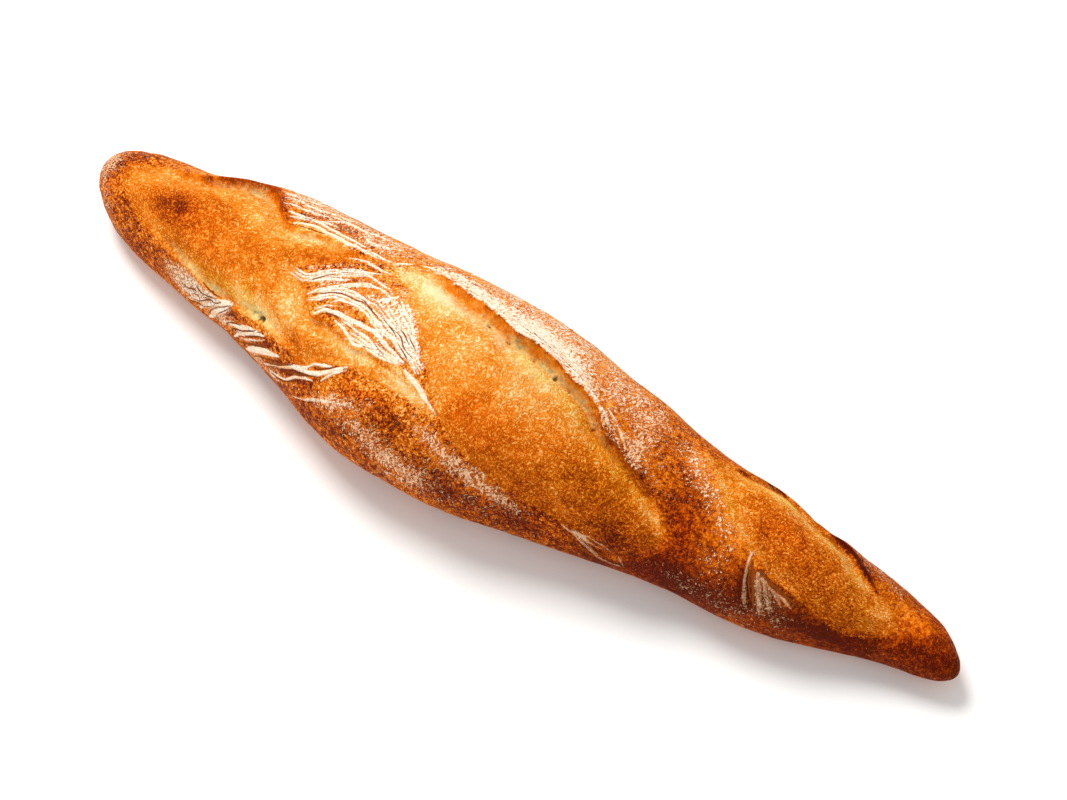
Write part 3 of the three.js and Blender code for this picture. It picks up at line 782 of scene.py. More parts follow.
# Browning, and in some rows painted shade, laid in soft strokes: x, angle, width, strength. More is darker.
BROWNING_AND_SHADE = (
    [[-128, 66, 5, 0.20], [-120, 73, 5, 0.24]],
    [[-132, 82, 7, 0.10], [-121, 80, 9, 0.16], [-110, 74, 10, 0.13], [-98, 62, 10, 0.10],
     [-84, 62, 7, 0.08]],
    [[-118, 116, 2.4, 0.10], [-110, 119, 2.6, 0.16], [-101, 117, 2.4, 0.10]],
    [[-112, 48, 5, 0.06], [-102, 46, 5, 0.05]],
    [[-154, 60, 9, 0.14], [-150, 30, 10, 0.18], [-140, 20, 14, 0.18], [-125, 10, 12, 0.20]],
    [[-152, 90, 8, 0.14], [-140, 130, 8, 0.10]],
    [[-85, 47, 2.4, 0.12], [-83, 48, 2.4, 0.12]],
    [[-57, 40, 5, 0.08], [-49, 49, 6, 0.10]],
    [[-61, 43, 2.2, 0.14], [-60, 46, 2.2, 0.14]],
    [[-73, 83, 3, 0.08], [-69, 91, 3.5, 0.12], [-64, 97, 3, 0.12], [-59, 103, 3, 0.10]],
    [[-84, 117, 2.5, 0.20], [-79, 122, 3, 0.22], [-75, 125, 3, 0.16]],
    [[-72, 119, 2.2, 0.22], [-66, 125, 2.2, 0.18]],
    [[-2, 50, 5, 0.12], [0, 62, 5, 0.14], [2, 74, 5, 0.08]],
    [[8, 42, 8, 0.14], [20, 46, 10, 0.18], [35, 44, 10, 0.19]],
    [[42, 60, 8, 0.16], [50, 40, 9, 0.22], [51, 20, 8, 0.24]],
    [[56, 20, 6, 0.16], [64, 16, 7, 0.20], [72, 14, 7, 0.20], [84, 14, 8, 0.14]],
    [[56, -12, 8, 0.16], [74, -2, 10, 0.18], [92, 16, 8, 0.14]],
    [[96, 20, 10, 0.14], [120, 5, 12, 0.18], [145, 0, 14, 0.19]],
    [[66, 92, 5, 0.06], [70, 70, 6, 0.10], [68, 44, 7, 0.12]],
    [[92, 86, 6, 0.12], [98, 98, 6, 0.06], [104, 80, 8, 0.12], [116, 70, 8, 0.12]],
    [[112, 24, 4, 0.16], [123, 14, 4, 0.20], [130, 18, 4, 0.16]],
    [[98, 54, 3, 0.16], [103, 38, 4, 0.20], [106, 22, 4, 0.14]],
    [[92, 66, 1.6, 0.16], [94, 46, 1.8, 0.22], [97, 22, 2.0, 0.22]],
    [[148, 62, 9, 0.07], [158, 40, 10, 0.11]],
    [[150, 110, 7, 0.06], [158, 120, 8, 0.08]],
    [[107, 139, 0.5, 0.20], [110, 138, 0.55, 0.60], [113, 135, 0.6, 0.72], [117, 126, 0.7, 0.76],
     [121, 115, 0.7, 0.72], [125, 105, 0.6, 0.60], [129, 94, 0.5, 0.30]],
    [[74, 132, 0.6, 0.20], [76, 134, 0.7, 0.50], [78, 136, 0.6, 0.20]],
    [[83, 142, 0.6, 0.20], [86, 145, 0.7, 0.50], [90, 146, 0.6, 0.30]],
    [[-114, 132, 1.0, 0.20], [-107, 131, 1.4, 0.36], [-100, 129, 1.6, 0.40], [-94, 119, 1.4, 0.40],
     [-90, 109, 1.2, 0.36], [-85, 100, 1.0, 0.20]],
    [[-60, 4, 12, 0.12], [-20, 10, 14, 0.16], [20, 5, 12, 0.17]],
    [[-96, -2, 2.0, 0.22], [-90, 12, 2.0, 0.24], [-86, 22, 2.0, 0.20]],
    [[-84, 4, 1.6, 0.20], [-76, 20, 1.6, 0.24]],
    [[-70, 4, 1.6, 0.20], [-60, 20, 1.6, 0.24], [-54, 27, 1.4, 0.20]],
    [[-52, -6, 5, 0.10], [-44, 6, 5, 0.10], [-34, 12, 4, 0.06]],
    [[-34, 36, 3, 0.12], [-26, 38, 4, 0.14], [-20, 38, 3.5, 0.08]],
    [[-10, 20, 6, 0.10], [2, 20, 5, 0.12]],
    [[-4, 2, 6, 0.08], [14, 2, 7, 0.12], [35, 2, 7, 0.14], [50, -6, 6, 0.10]],
    # painted shade: darker along the low side, where it curves under towards the floor
    [[-90, -30, 12, 0.12], [-40, -35, 12, 0.12], [20, -35, 12, 0.10], [80, -35, 12, 0.08]],
    # painted shade under the flap's lip, with some browning of its edge
    [[-44, 43, 1.2, 0.10], [-38, 50, 1.0, 0.12], [-33, 56, 0.8, 0.12]],
    [[-57, 62, 0.7, 0.14], [-50, 64, 0.7, 0.16], [-41, 62, 0.7, 0.18], [-33, 62.5, 0.7, 0.18],
     [-24, 61, 0.7, 0.18], [-15, 57, 0.7, 0.16]],
    [[-88, 15, 2.0, 0.16], [-80, 26, 2.0, 0.18]],
    [[-74, 14, 1.6, 0.16], [-67, 28, 1.6, 0.20]],
    [[-60, 15, 2.0, 0.16], [-52, 25, 2.0, 0.18], [-47, 32, 1.6, 0.16]],
    # darker under the middle ear's right half: its browned wall, and painted shade under the lip
    [[24, 97, 1.8, 0.10], [36, 88, 1.8, 0.22], [48, 79, 1.8, 0.24], [58, 68, 1.8, 0.20]],
)

# Paler places, laid in the same way. More is paler.
PALE = (
    [[-140, 80, 7, 0.08], [-128, 100, 7, 0.14], [-118, 108, 5, 0.14]],
    [[-112, 112, 5, 0.13], [-101, 112, 5, 0.17], [-93, 98, 5, 0.14], [-86, 90, 4, 0.06]],
    [[-75, 60, 6, 0.04], [-68, 57, 5, 0.20], [-64, 54, 4, 0.24]],
    [[-81, 97, 2.4, 0.34], [-77, 100, 2.4, 0.42], [-70, 106, 2.2, 0.40], [-64, 108, 2.2, 0.30]],
    [[-132, 58, 2.5, 0.14], [-124, 48, 2.5, 0.12]],
    [[-85, 38, 4, 0.20], [-77, 39, 4, 0.32], [-68, 36, 3, 0.28]],
    # painted light: paler on the first opening's lower side, where it turns away from the key light
    [[-108, 38, 4, 0.05], [-98, 34, 5, 0.07], [-90, 36, 6, 0.13]],
    [[-55, 59, 4, 0.14], [-47, 60, 4, 0.18], [-41, 61, 3, 0.34], [-34, 61, 3, 0.30]],
    [[-24, 60, 3, 0.38], [-18, 58, 3, 0.40], [-13, 54, 2, 0.26]],
    [[-46, 111, 3.6, 0.20], [-36, 112, 3.8, 0.32], [-27, 107, 3.8, 0.36], [-17, 103, 3.4, 0.28]],
    [[-28, 96, 9, 0.12], [-8, 90, 11, 0.12], [12, 84, 11, 0.13]],
    [[-12, 106, 3, 0.24], [-3, 103, 3, 0.26], [5, 99, 3.4, 0.26], [12, 96, 3.4, 0.24], [24, 92, 3.4, 0.18],
     [36, 81, 4, 0.20], [48, 72, 4, 0.16]],
    [[54, 65, 2.4, 0.14], [60, 57, 2.2, 0.18], [66, 48, 2.0, 0.28], [69, 35, 1.6, 0.18]],
    [[74, 126, 2.4, 0.16], [85, 126, 2.8, 0.24], [94, 126, 2.8, 0.30], [103, 124, 2.8, 0.30],
     [111, 119, 2.6, 0.32], [118, 107, 2.4, 0.28], [125, 95, 2.4, 0.24]],
    [[66, 112, 4, 0.24], [76, 98, 4, 0.20], [86, 80, 4, 0.20], [92, 68, 3, 0.20]],
    [[96, 62, 4, 0.12], [108, 50, 4, 0.10]],
    [[134, 74, 4, 0.24], [138, 90, 4, 0.24], [146, 86, 4, 0.22], [132, 52, 3, 0.14]],
    [[-32, 45, 3, 0.08], [-22, 49, 4, 0.10], [-10, 48, 4, 0.08]],
    [[-50, 142, 10, 0.10], [-10, 150, 12, 0.12], [40, 140, 10, 0.06]],
)

# Where the bake turned golden, or ruddy if negative: x, angle, width, strength.
TINTED = (
    [[-142, 72, 7, 0.1], [-128, 76, 9, -0.2], [-112, 66, 9, -0.6], [-98, 56, 8, -0.5], [-90, 50, 6, -0.3]],
    [[-4, 52, 5, -0.5], [2, 60, 7, -0.9], [8, 58, 8, -0.9], [16, 62, 8, -0.6], [28, 66, 7, -0.4]],
    [[-36, 40, 4, -0.7], [-28, 42, 4, -0.9], [-22, 40, 4, -0.6]],
    [[-62, 14, 4, -0.4], [-54, 20, 4, -0.4]],
    [[64, 6, 7, -0.8], [71, 26, 6, -0.9], [72, 50, 5, -0.9], [69, 68, 5, -0.7]],
    [[92, 98, 5, -0.6], [100, 100, 6, -0.7], [110, 88, 6, -0.4]],
    [[126, 18, 5, -0.6], [140, 40, 6, -0.5], [150, 64, 8, -0.9]],
    [[136, 84, 5, -0.4], [142, 84, 5, -0.4]],
    [[32, 52, 6, 0.5], [42, 52, 7, 0.6], [50, 44, 6, 0.5], [46, 24, 6, 0.4]],
    [[76, 116, 4, 0.4], [86, 124, 4, 0.6], [98, 122, 4, 0.6], [110, 112, 4, 0.5], [121, 96, 4, 0.4]],
    [[112, 56, 4, 0.3], [120, 58, 5, 0.4], [128, 52, 5, 0.4]],
    [[-122, 46, 4, 0.5], [-108, 40, 4, 0.7], [-98, 36, 4, 0.7], [-88, 36, 4, 0.6], [-78, 38, 4, 0.5]],
    [[6, 99, 4, 0.5], [22, 94, 4, 0.6], [34, 86, 4, 0.7], [46, 76, 4, 0.7], [58, 62, 4, 0.4]],
    [[-85, 47, 2.2, 0.7], [-84, 48, 2.2, 0.7]],
    [[-20, 30, 7, 0.3], [0, 22, 7, 0.3]],
    [[74, 92, 4, 0.5], [80, 84, 4, 0.5]],
)

# The torn crumb under the ears, cream to grey: x, angle, width, strength.
CRUMB = (
    [[-121, 114, 0.8, 0.25], [-117, 119, 1.0, 0.45], [-112, 122, 1.8, 0.62], [-106, 124, 2.0, 0.72],
     [-101, 121, 1.9, 0.70], [-97, 116, 1.1, 0.4]],
    [[-84, 97, 1.1, 0.2], [-76, 100, 1.1, 0.4], [-68, 104, 1.0, 0.3]],
    [[-122, 44, 1.6, 0.30], [-115, 38, 2.0, 0.50], [-108, 32, 2.2, 0.70], [-102, 28, 2.2, 0.55],
     [-96, 26, 2.2, 0.70], [-88, 28, 1.6, 0.25]],
    [[-85, 32, 2.2, 0.5], [-78, 34, 3.4, 0.9], [-71, 35, 2.6, 0.6]],
    [[-20, 111, 0.9, 0.40], [-14, 109.5, 1.1, 0.60], [-9, 107.5, 1.2, 0.75], [-4, 106, 1.1, 0.55],
     [2, 105, 1.3, 0.80], [8, 103.5, 1.1, 0.60], [12, 102.5, 1.3, 0.85], [16, 101, 1.2, 0.80],
     [21, 99, 1.1, 0.60], [28, 96, 1.2, 0.68], [33, 90, 1.2, 0.56], [39, 83, 1.2, 0.46],
     [46, 76, 1.1, 0.26], [56, 66, 1.0, 0.10]],
    [[79, 138, 0.8, 0.25], [84, 142, 0.9, 0.40], [90, 144, 0.8, 0.20]],
)

# Flour left on the skin: x, angle, width, strength.
FLOURED = (
    [[-120, 150, 14, 0.25], [-90, 145, 14, 0.35]],
    [[-90, 124, 7, 0.20], [-80, 126, 8, 0.24], [-68, 126, 8, 0.26], [-54, 124, 8, 0.30]],
    [[-70, 140, 12, 0.26], [-40, 140, 14, 0.32], [-10, 140, 14, 0.44], [20, 132, 12, 0.44],
     [45, 120, 10, 0.32]],
    [[0, 125, 4, 0.10], [12, 123, 4, 0.18], [24, 114, 4, 0.20]],
    [[-34, 124, 3, 0.40], [-22, 122, 3.4, 0.60], [-12, 118, 4.6, 0.66], [-2, 115, 5.6, 0.70],
     [8, 113, 5.6, 0.70], [18, 108, 4.4, 0.60], [28, 101, 3, 0.46], [40, 88, 2.4, 0.32],
     [50, 80, 2.4, 0.30]],
    [[-62, 82, 6, 0.44], [-50, 88, 7, 0.46], [-40, 92, 6, 0.55], [-32, 86, 6, 0.70], [-24, 78, 5, 0.70],
     [-18, 70, 3, 0.45]],
    [[-46, 68, 4, 0.36], [-34, 68, 4, 0.36]],
    [[-70, 86, 3, 0.28], [-62, 102, 4, 0.24]],
    [[-156, 60, 7, 0.46], [-151, 24, 8, 0.40], [-144, -5, 8, 0.30]],
    [[-156, 112, 6, 0.34], [-148, 140, 6, 0.26]],
    [[-136, 30, 4, 0.16], [-128, 26, 4, 0.10]],
    [[-117, 18, 4, 0.60], [-111, 14, 6, 0.95], [-103, 15, 7, 1.05], [-96, 19, 6, 0.95], [-91, 21, 4, 0.55]],
    [[-92, 2, 5, 0.60], [-86, 6, 4, 0.40], [-80, 12, 3, 0.20]],
    [[-76, -2, 5, 0.60], [-66, 4, 4, 0.50], [-56, 14, 3, 0.20]],
    [[-46, 18, 4, 0.30], [-37, 30, 3, 0.36], [-27, 38, 2.6, 0.36]],
    [[-40, 24, 5, 0.36], [-34, 20, 5, 0.44], [-26, 18, 6, 0.54], [-18, 10, 7, 0.58], [-8, 6, 7, 0.50]],
    [[-13, 42, 3, 0.34], [-4, 36, 4, 0.54], [6, 30, 4.4, 0.58], [16, 22, 4.4, 0.52], [26, 14, 3.4, 0.40]],
    [[-2, 16, 8, 0.20], [16, 8, 8, 0.18]],
    [[-40, -8, 10, 0.14], [0, -10, 10, 0.16], [30, -10, 9, 0.14]],
    [[62, 114, 4.0, 0.40], [68, 98, 4.0, 0.48], [77, 86, 3.8, 0.43], [82, 72, 3.8, 0.46],
     [86, 62, 3.6, 0.40], [84, 46, 5, 0.26]],
    [[48, 90, 4, 0.36], [56, 78, 3, 0.30], [62, 68, 3, 0.12]],
    [[36, 112, 8, 0.26], [46, 106, 8, 0.26], [56, 98, 7, 0.18]],
    [[56, 6, 6, 0.18], [68, 6, 6, 0.22], [80, 4, 6, 0.24], [92, 0, 6, 0.22]],
    [[84, 20, 6, 0.14], [92, 20, 6, 0.20], [98, 8, 6, 0.24]],
    [[98, 50, 3.2, 0.42], [102, 38, 4.2, 0.50], [106, 20, 5, 0.40], [110, 5, 5, 0.20]],
    [[110, 156, 4, 0.26], [121, 138, 3, 0.40], [129, 124, 3, 0.40], [136, 112, 3, 0.24]],
    [[-130, 200, 20, 0.14], [-60, 195, 26, 0.26], [0, 195, 26, 0.30], [70, 190, 24, 0.24],
     [130, 190, 16, 0.12]],
)

# Fine crazing of the floured skin: x, angle, width, strength.
CRAZED = (
    [[-114, 14, 5, 0.7], [-106, 12, 7, 0.9], [-98, 16, 6, 0.7]],
    [[102, 44, 4, 0.7], [106, 24, 6, 0.8]],
)

NARROW_STROKE = 0.5  # no stroke is narrower


def strokes(rows, x, angle):
    """Soft strokes added up: each fades with the distance from its line, divided by the stroke's
    width there, as a bell curve."""
    total = np.zeros(x.shape)
    degree = degree_length(x)
    for row in rows:
        distance, _, _, columns = nearest_on_line(rounded_line(row), x, angle, degree)
        total += columns[..., 1] * np.exp(-((distance / np.maximum(columns[..., 0], NARROW_STROKE)) ** 2))
    return total


SKIN_TOAST = 0.64
DOUGH_TOAST = 0.475
RIGHT_DARKENING = 0.10  # the narrow half darker
RIGHT_SPAN = (-10.0, 90.0)
BASE_TOAST = 0.66
BASE_EDGE = (60.0, 35.0)  # degrees from the underside's middle: none of its toast, all of it
# Under each ear: how far the torn face shows, and the width of the dark rim under its lip, partly its
# toasted edge and partly painted shade under the overhang.
FACES = {"left_ear": (1.0, 0.9), "middle_ear": (2.1, 0.35), "right_ear": (0.9, 0.3), "flap_lip": (0.7, 0.3)}
OPEN_EDGE = (-0.4, 0.6)  # how far inside the opening the skin's look ends and the dough's is whole
RAISED = (0.5, 2.2)  # lift of the lip at which the torn face starts to show, and is whole
FACE_START = (-0.5, 0.2)  # across the tear, where the face starts, and around its reach, where it ends
FACE_END = (0.8, -0.4)
CRUMB_EDGE = (-0.3, 0.8)
DEEPEST_PIT = 1.5
GRAIN_TURN = np.radians(18.0)  # how far the dough's strands turn from straight round the loaf
GRAIN_RADIUS = 26.0  # the strands take the loaf as round, with this radius

worn_x, worn_angle = ragged_place(x, angle)
fields = tear_fields(worn_x, worn_angle)
dough = opened(fields, worn_x, worn_angle)
opened_here = smoothstep(dough, *OPEN_EDGE)
toast = SKIN_TOAST + (DOUGH_TOAST - SKIN_TOAST) * opened_here + RIGHT_DARKENING * smoothstep(x, *RIGHT_SPAN)
toast += strokes(BROWNING_AND_SHADE, x, angle) - strokes(PALE, x, angle)
toast += (BASE_TOAST - toast) * smoothstep(np.abs((angle + 270) % 360 - 180), *BASE_EDGE)
face = np.zeros(x.shape)
rim = np.zeros(x.shape)
for name, (reach, rim_width) in FACES.items():
    distance, side, _, columns = fields[name]
    raised = smoothstep(columns[..., 0], *RAISED)
    inward = distance * side
    torn = smoothstep(inward, *FACE_START) * smoothstep(inward - reach, *FACE_END)
    face = np.maximum(face, raised * torn)
    rim = np.maximum(rim, raised * np.exp(-(((inward - 0.5 * rim_width) / rim_width) ** 2)))
keep_field(crust.data, "dough", dough)
keep_field(crust.data, "toast", toast)
keep_field(crust.data, "tint", strokes(TINTED, x, angle))
keep_field(crust.data, "face", face)
keep_field(crust.data, "rim", rim)
keep_field(crust.data, "crumb", np.clip(strokes(CRUMB, x, angle), 0.0, 1.0) * smoothstep(dough, *CRUMB_EDGE))
keep_field(crust.data, "flour", np.clip(strokes(FLOURED, x, angle), 0.0, 1.0) * (1.0 - opened_here))
keep_field(crust.data, "craze", np.clip(strokes(CRAZED, x, angle), 0.0, 1.0) * (1.0 - opened_here))
mark_place = ragged_place(x, angle, MARK_WAVER)
keep_field(crust.data, "strip", inside_marks(STRIPS, *mark_place))
keep_field(crust.data, "crack", inside_marks(CRACKS, *mark_place))
keep_field(crust.data, "pit", np.clip(spots(PITS, worn_x, worn_angle), 0.0, DEEPEST_PIT))
round_way = np.radians(angle) * GRAIN_RADIUS
grain = np.column_stack([
    np.cos(GRAIN_TURN) * x - np.sin(GRAIN_TURN) * round_way,
    np.sin(GRAIN_TURN) * x + np.cos(GRAIN_TURN) * round_way,
    np.zeros(len(x)),
])
grain_field = crust.data.attributes.new("grain", "FLOAT_VECTOR", "POINT").data
grain_field.foreach_set("vector", grain.astype(np.float32).ravel())

# The skin unrolled for its texture: along the loaf across the sheet, round it from the underside up.
SHEET_MARGIN = 0.02

corner_vertex = np.zeros(len(crust.data.loops), np.int32)
crust.data.loops.foreach_get("vertex_index", corner_vertex)
face_angles = angle[corner_vertex].reshape(-1, 3)
face_angles = face_angles[:, :1] + (face_angles - face_angles[:, :1] + 180) % 360 - 180
face_angles -= 360 * (face_angles.mean(axis=1, keepdims=True) > 270)
face_angles += 360 * (face_angles.mean(axis=1, keepdims=True) < -90)
sheet_x = np.interp(x[corner_vertex], fine_x, travelled / travelled[-1])
sheet = np.column_stack([sheet_x, (face_angles.ravel() + 90) / 360]) * (1 - 2 * SHEET_MARGIN) + SHEET_MARGIN
crust.data.uv_layers.new(name="OFBake").data.foreach_set("uv", sheet.astype(np.float32).ravel())

# Colours, from the palest bake to the darkest, and those of crumb, the painted shade in its pits, flour and
# cracks.
BAKES = (
    (0.00, (0.86, 0.66, 0.37)),
    (0.16, (0.83, 0.45, 0.135)),
    (0.34, (0.79, 0.285, 0.036)),
    (0.50, (0.69, 0.168, 0.0035)),
    (0.66, (0.49, 0.088, 0.001)),
    (0.82, (0.26, 0.032, 0.001)),
    (1.00, (0.080, 0.007, 0.001)),
)
CRUMB_CREAM = (0.76, 0.53, 0.19, 1.0)
CRUMB_GREY = (0.44, 0.37, 0.17, 1.0)
PIT_SHADE = (0.11, 0.080, 0.025, 1.0)
GOLDEN = (0.95, 1.13, 0.60)  # of each part of the bake's colour
RUDDY = (1.05, 0.84, 0.55)
FLOUR_WHITE = (0.84, 0.74, 0.59, 1.0)
FLOUR_PINK = (0.84, 0.49, 0.26, 1.0)
CRACK_BROWN = (0.24, 0.055, 0.008, 1.0)
FACE_TOAST = 0.46
RIM_TOAST_AND_SHADE = 0.84
CRUST_SHINE = 0.02
FLOUR_ROUGHNESS = 0.92
BARE_LEVEL = 0.48  # above this the dusting shows on bare skin; full flour brings it down by the drop
FLOUR_DROP = 0.84

# Sizes in millimetres of what makes it uneven. A pair is the size along the loaf and the size
# round it, before the grain's turn.
PALM = 16.0
PATCH = 6.5
BLOTCH = 3.0
GRIT = 1.4
SPECK = 0.65
STRAND = (0.38, 1.15)
STRAND_ACROSS = (1.1, 0.4)
DUST = (0.55, 1.35)
CRAZE = (1.5, 3.6)
CRUMB_CELL = 1.7
BLISTER = 1.9
GRAIN_WANDER = 4.0  # how far the strands wander off their straight lines
APART = (40.0, 7.0, 3.0)  # keep the noises of the grain from being alike
FURTHER_APART = (9.0, 4.0, 1.0)

crust_bread = bpy.data.materials.new("crust_bread")
crust_bread.use_nodes = True
nodes, links = crust_bread.node_tree.nodes, crust_bread.node_tree.links
bsdf = nodes["Principled BSDF"]


def put(socket, value):
    """Links an output to a socket, or sets the socket's own value."""
    if isinstance(value, bpy.types.NodeSocket):
        links.new(value, socket)
    else:
        socket.default_value = value


def calc(operation, a, b=0.0, c=0.0):
    """A number worked out from up to three numbers."""
    node = nodes.new("ShaderNodeMath")
    node.operation = operation
    for socket, value in zip(node.inputs, (a, b, c)):
        put(socket, value)
    return node.outputs[0]


def spread(value, low, high, to_low=0.0, to_high=1.0):
    """A number taken from one span to another by smoothstep, and held at the span's ends."""
    node = nodes.new("ShaderNodeMapRange")
    node.interpolation_type = "SMOOTHSTEP"
    put(node.inputs["Value"], value)
    put(node.inputs["From Min"], low)
    put(node.inputs["From Max"], high)
    put(node.inputs["To Min"], to_low)
    put(node.inputs["To Max"], to_high)
    return node.outputs["Result"]


def blend(factor, a, b):
    """Two colours mixed: a at 0, b at 1. Sockets 6, 7 and 2 of the mix are its colours."""
    node = nodes.new("ShaderNodeMix")
    node.data_type = "RGBA"
    put(node.inputs["Factor"], factor)
    put(node.inputs[6], a)
    put(node.inputs[7], b)
    return node.outputs[2]


def vertex_field(name, output="Fac"):
    """A number or a vector stored for each vertex."""
    node = nodes.new("ShaderNodeAttribute")
    node.attribute_name = name
    return node.outputs[output]


def moved(vector, scale, by=(0.0, 0.0, 0.0)):
    """A vector scaled along each axis and then moved."""
    node = nodes.new("ShaderNodeVectorMath")
    node.operation = "MULTIPLY_ADD"
    put(node.inputs[0], vector)
    put(node.inputs[1], scale)
    put(node.inputs[2], by)
    return node.outputs[0]


def total(first, *others):
    """Numbers added up."""
    for other in others:
        first = calc("ADD", first, other)
    return first


def product(first, *others):
    """Numbers multiplied together."""
    for other in others:
        first = calc("MULTIPLY", first, other)
    return first


def part_way(share, a, b):
    """The number that lies a share of the way from a to b."""
    return calc("MULTIPLY_ADD", share, calc("SUBTRACT", b, a), a)


def mottle(vector, size, detail=2.0, roughness=0.5):
    """Smooth noise from 0 to 1 with blotches of a size in millimetres."""
    node = nodes.new("ShaderNodeTexNoise")
    put(node.inputs["Vector"], vector)
    node.inputs["Scale"].default_value = 1.0 / size
    node.inputs["Detail"].default_value = detail
    node.inputs["Roughness"].default_value = roughness
    return node.outputs["Fac"]


def strand_noise(size, start=(0.0, 0.0, 0.0), detail=3.0):
    """Smooth noise from 0 to 1 that turns and wanders with the grain, with a pair of sizes."""
    return mottle(moved(grain_place, (1 / size[0], 1 / size[1], 1.0), start), 1.0, detail, 0.6)


def cell_distance(vector, size, feature="F1"):
    """Distance to the middle of the nearest of the cells of that size, or to its edge."""
    node = nodes.new("ShaderNodeTexVoronoi")
    node.feature = feature
    put(node.inputs["Vector"], vector)
    node.inputs["Scale"].default_value = 1.0 / size
    return node.outputs["Distance"]


def uneven(*noises):
    """Noises from 0 to 1, each made into one from -reach / 2 to reach / 2, added up."""
    return total(*(calc("MULTIPLY_ADD", noise, reach, -reach / 2) for noise, reach in noises))


place = moved(nodes.new("ShaderNodeTexCoord").outputs["Object"], (METRE, METRE, METRE))
wander = nodes.new("ShaderNodeTexNoise")
put(wander.inputs["Vector"], place)
wander.inputs["Scale"].default_value = 1 / BLOTCH
wander.inputs["Detail"].default_value = 2.0
grain_place = moved(wander.outputs["Color"], (GRAIN_WANDER,) * 3, vertex_field("grain", "Vector"))
palm = mottle(place, PALM)
patches = mottle(place, PATCH, 2.0, 0.6)
blotches = mottle(place, BLOTCH, 2.0, 0.6)
grit = mottle(place, GRIT, 3.0, 0.65)
specks = mottle(place, SPECK, 2.0, 0.7)
strands = strand_noise(STRAND)
strands_across = strand_noise(STRAND_ACROSS, APART)
dusting = strand_noise(DUST, FURTHER_APART, 2.0)

# Bake: the stored browning, mottled at every size from the palm down to the single grain.
toasted = vertex_field("toast")
along_loaf = vertex_field("place")
on_dough = spread(total(vertex_field("dough"), uneven((grit, 0.6))), -0.15, 0.3)
off_dough = calc("SUBTRACT", 1.0, on_dough)
skin_bake = product(
    uneven((palm, 0.45), (patches, 0.55), (blotches, 0.60), (grit, 1.60), (specks, 2.20)),
    spread(vertex_field("flour"), 0.15, 0.70, 1.0, 0.45),
    spread(toasted, 0.78, 1.00, 1.0, 0.75),
    spread(along_loaf, 20.0, 80.0, 1.0, 0.60),
)
dough_bake = uneven(
    (palm, 0.28), (patches, 0.36), (blotches, 0.36), (strands, 1.50), (strands_across, 0.95), (specks, 1.25)
)
bake = total(toasted, part_way(on_dough, skin_bake, dough_bake))
face_bake = total(FACE_TOAST, uneven((blotches, 0.6), (strands, 0.7)))
bake = part_way(vertex_field("face"), bake, calc("MAXIMUM", face_bake, bake))
# The dark rim under each lip: toasted edge and painted shade under the overhang.
bake = part_way(product(vertex_field("rim"), spread(blotches, 0.38, 0.62, 0.35, 1.0)), bake, RIM_TOAST_AND_SHADE)

# Single pale strands that stand out of the darker bake.
pale_strands = spread(uneven((strands, 1.0), (strands_across, 0.6), (specks, 0.8)), 0.06, 0.26)
bake = total(bake, product(pale_strands, spread(along_loaf, 0.0, 100.0, -0.38, -0.28)))

ramp = nodes.new("ShaderNodeValToRGB")
while len(ramp.color_ramp.elements) < len(BAKES):
    ramp.color_ramp.elements.new(0.5)
for element, (position, colour) in zip(ramp.color_ramp.elements, BAKES):
    element.position = position
    element.color = (*colour, 1.0)
put(ramp.inputs["Fac"], bake)
baked = ramp.outputs["Color"]
tint = total(vertex_field("tint"), uneven((patches, 1.2)))
colour = blend(spread(tint, 0.0, 1.0), baked, moved(baked, GOLDEN))
colour = blend(spread(tint, 0.0, -1.0), colour, moved(baked, RUDDY))

# The torn crumb under the ears, with painted shade in its pits.
cell = total(cell_distance(place, CRUMB_CELL), uneven((specks, 0.5), (blotches, 0.8)))
crumb_colour = blend(spread(cell, 0.60, 0.26), CRUMB_CREAM, CRUMB_GREY)
# painted shade: the crumb goes dark in its pits, the deeper the darker
pit_shade_here = spread(total(vertex_field("pit"), uneven((grit, 0.8))), 0.20, 0.75)
crumb_colour = blend(pit_shade_here, crumb_colour, PIT_SHADE)
crumb_here = spread(total(vertex_field("crumb"), uneven((grit, 1.0), (strands, 0.7))), 0.25, 0.95)
colour = blend(crumb_here, colour, crumb_colour)

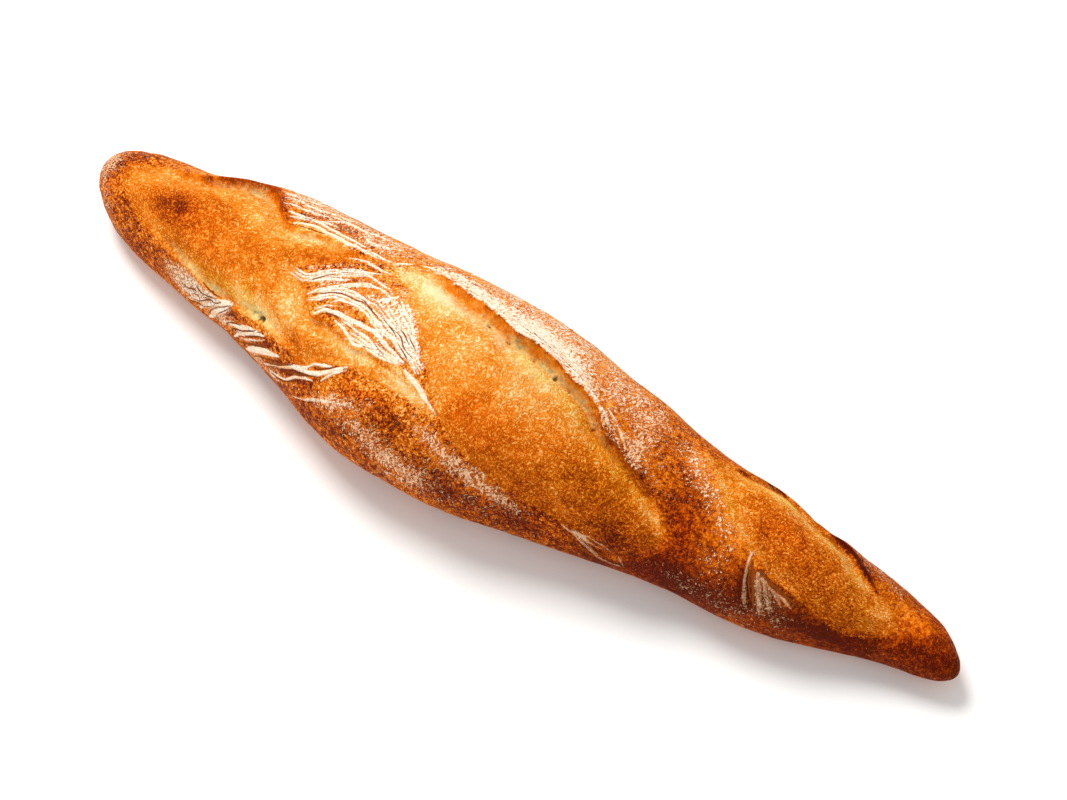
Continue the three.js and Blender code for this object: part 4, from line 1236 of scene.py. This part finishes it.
# Flour: thin and pinkish where it soaked in, thick and white on the strips.
flour_level = calc("MULTIPLY_ADD", vertex_field("flour"), -FLOUR_DROP, BARE_LEVEL)
flour_grain = uneven((dusting, 1.6), (specks, 1.3), (patches, 0.4), (blotches, 0.4))
flour_depth = calc("SUBTRACT", flour_grain, flour_level)
flour_here = product(spread(flour_depth, -0.04, 0.08), off_dough)
flour_toasted = spread(total(toasted, uneven((blotches, 0.5))), 0.50, 0.76, 0.0, 1.2)
flour_white = calc("SUBTRACT", total(spread(flour_depth, 0.0, 0.26), uneven((specks, 1.0))), flour_toasted)
flour_colour = blend(spread(flour_white, -0.5, 0.6), FLOUR_PINK, FLOUR_WHITE)
colour = blend(product(flour_here, spread(toasted, 0.80, 1.00, 0.92, 0.60)), colour, flour_colour)
strip_here = spread(total(vertex_field("strip"), uneven((grit, 0.8), (specks, 1.0))), -0.12, 0.14)
strip_toasted = total(toasted, spread(along_loaf, 0.0, 60.0, 0.0, 0.28))
strip_pink = spread(total(strip_toasted, uneven((blotches, 0.4))), 0.76, 1.04)
strip_cover = product(
    strip_here,
    spread(total(specks, uneven((dusting, 0.8))), 0.30, 0.56, 0.40, 1.0),
    spread(strip_toasted, 0.90, 1.25, 1.0, 0.45),
)
colour = blend(strip_cover, colour, blend(strip_pink, FLOUR_WHITE, FLOUR_PINK))

# Crazing and cracks.
craze_edge = cell_distance(moved(grain_place, (1 / CRAZE[0], 1 / CRAZE[1], 1.0)), 1.0, "DISTANCE_TO_EDGE")
craze_line = product(
    spread(craze_edge, 0.10, 0.03),
    spread(total(vertex_field("craze"), uneven((blotches, 0.8))), 0.35, 0.75),
    0.8,
)
crack_line = spread(total(vertex_field("crack"), uneven((grit, 0.35))), -0.08, 0.06)
cracked = calc("MAXIMUM", craze_line, crack_line)
put(bsdf.inputs["Base Color"], blend(cracked, colour, CRACK_BROWN))

floury = calc("MAXIMUM", flour_here, strip_here)
roughness = total(spread(bake, 0.5, 1.0, 0.66, 0.50), uneven((grit, 0.2)))
put(bsdf.inputs["Roughness"], part_way(floury, roughness, FLOUR_ROUGHNESS))
bsdf.inputs["Specular IOR Level"].default_value = CRUST_SHINE

# Grain relief in millimetres: strands on the opened dough, blisters and grit on the skin.
blisters = spread(cell_distance(place, BLISTER), 0.42, 0.10)
relief = total(
    product(on_dough, total(product(strands, 0.42), product(strands_across, 0.26))),
    product(off_dough, total(product(grit, 0.40), product(blisters, 0.10))),
    product(specks, 0.14),
    product(floury, 0.08),
    product(cracked, -0.20),
)
bump = nodes.new("ShaderNodeBump")
bump.inputs["Distance"].default_value = 1.0 / METRE
put(bump.inputs["Height"], relief)
put(bsdf.inputs["Normal"], bump.outputs["Normal"])

crust.data.materials.append(crust_bread)
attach(crust, "root")
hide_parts("loaf")
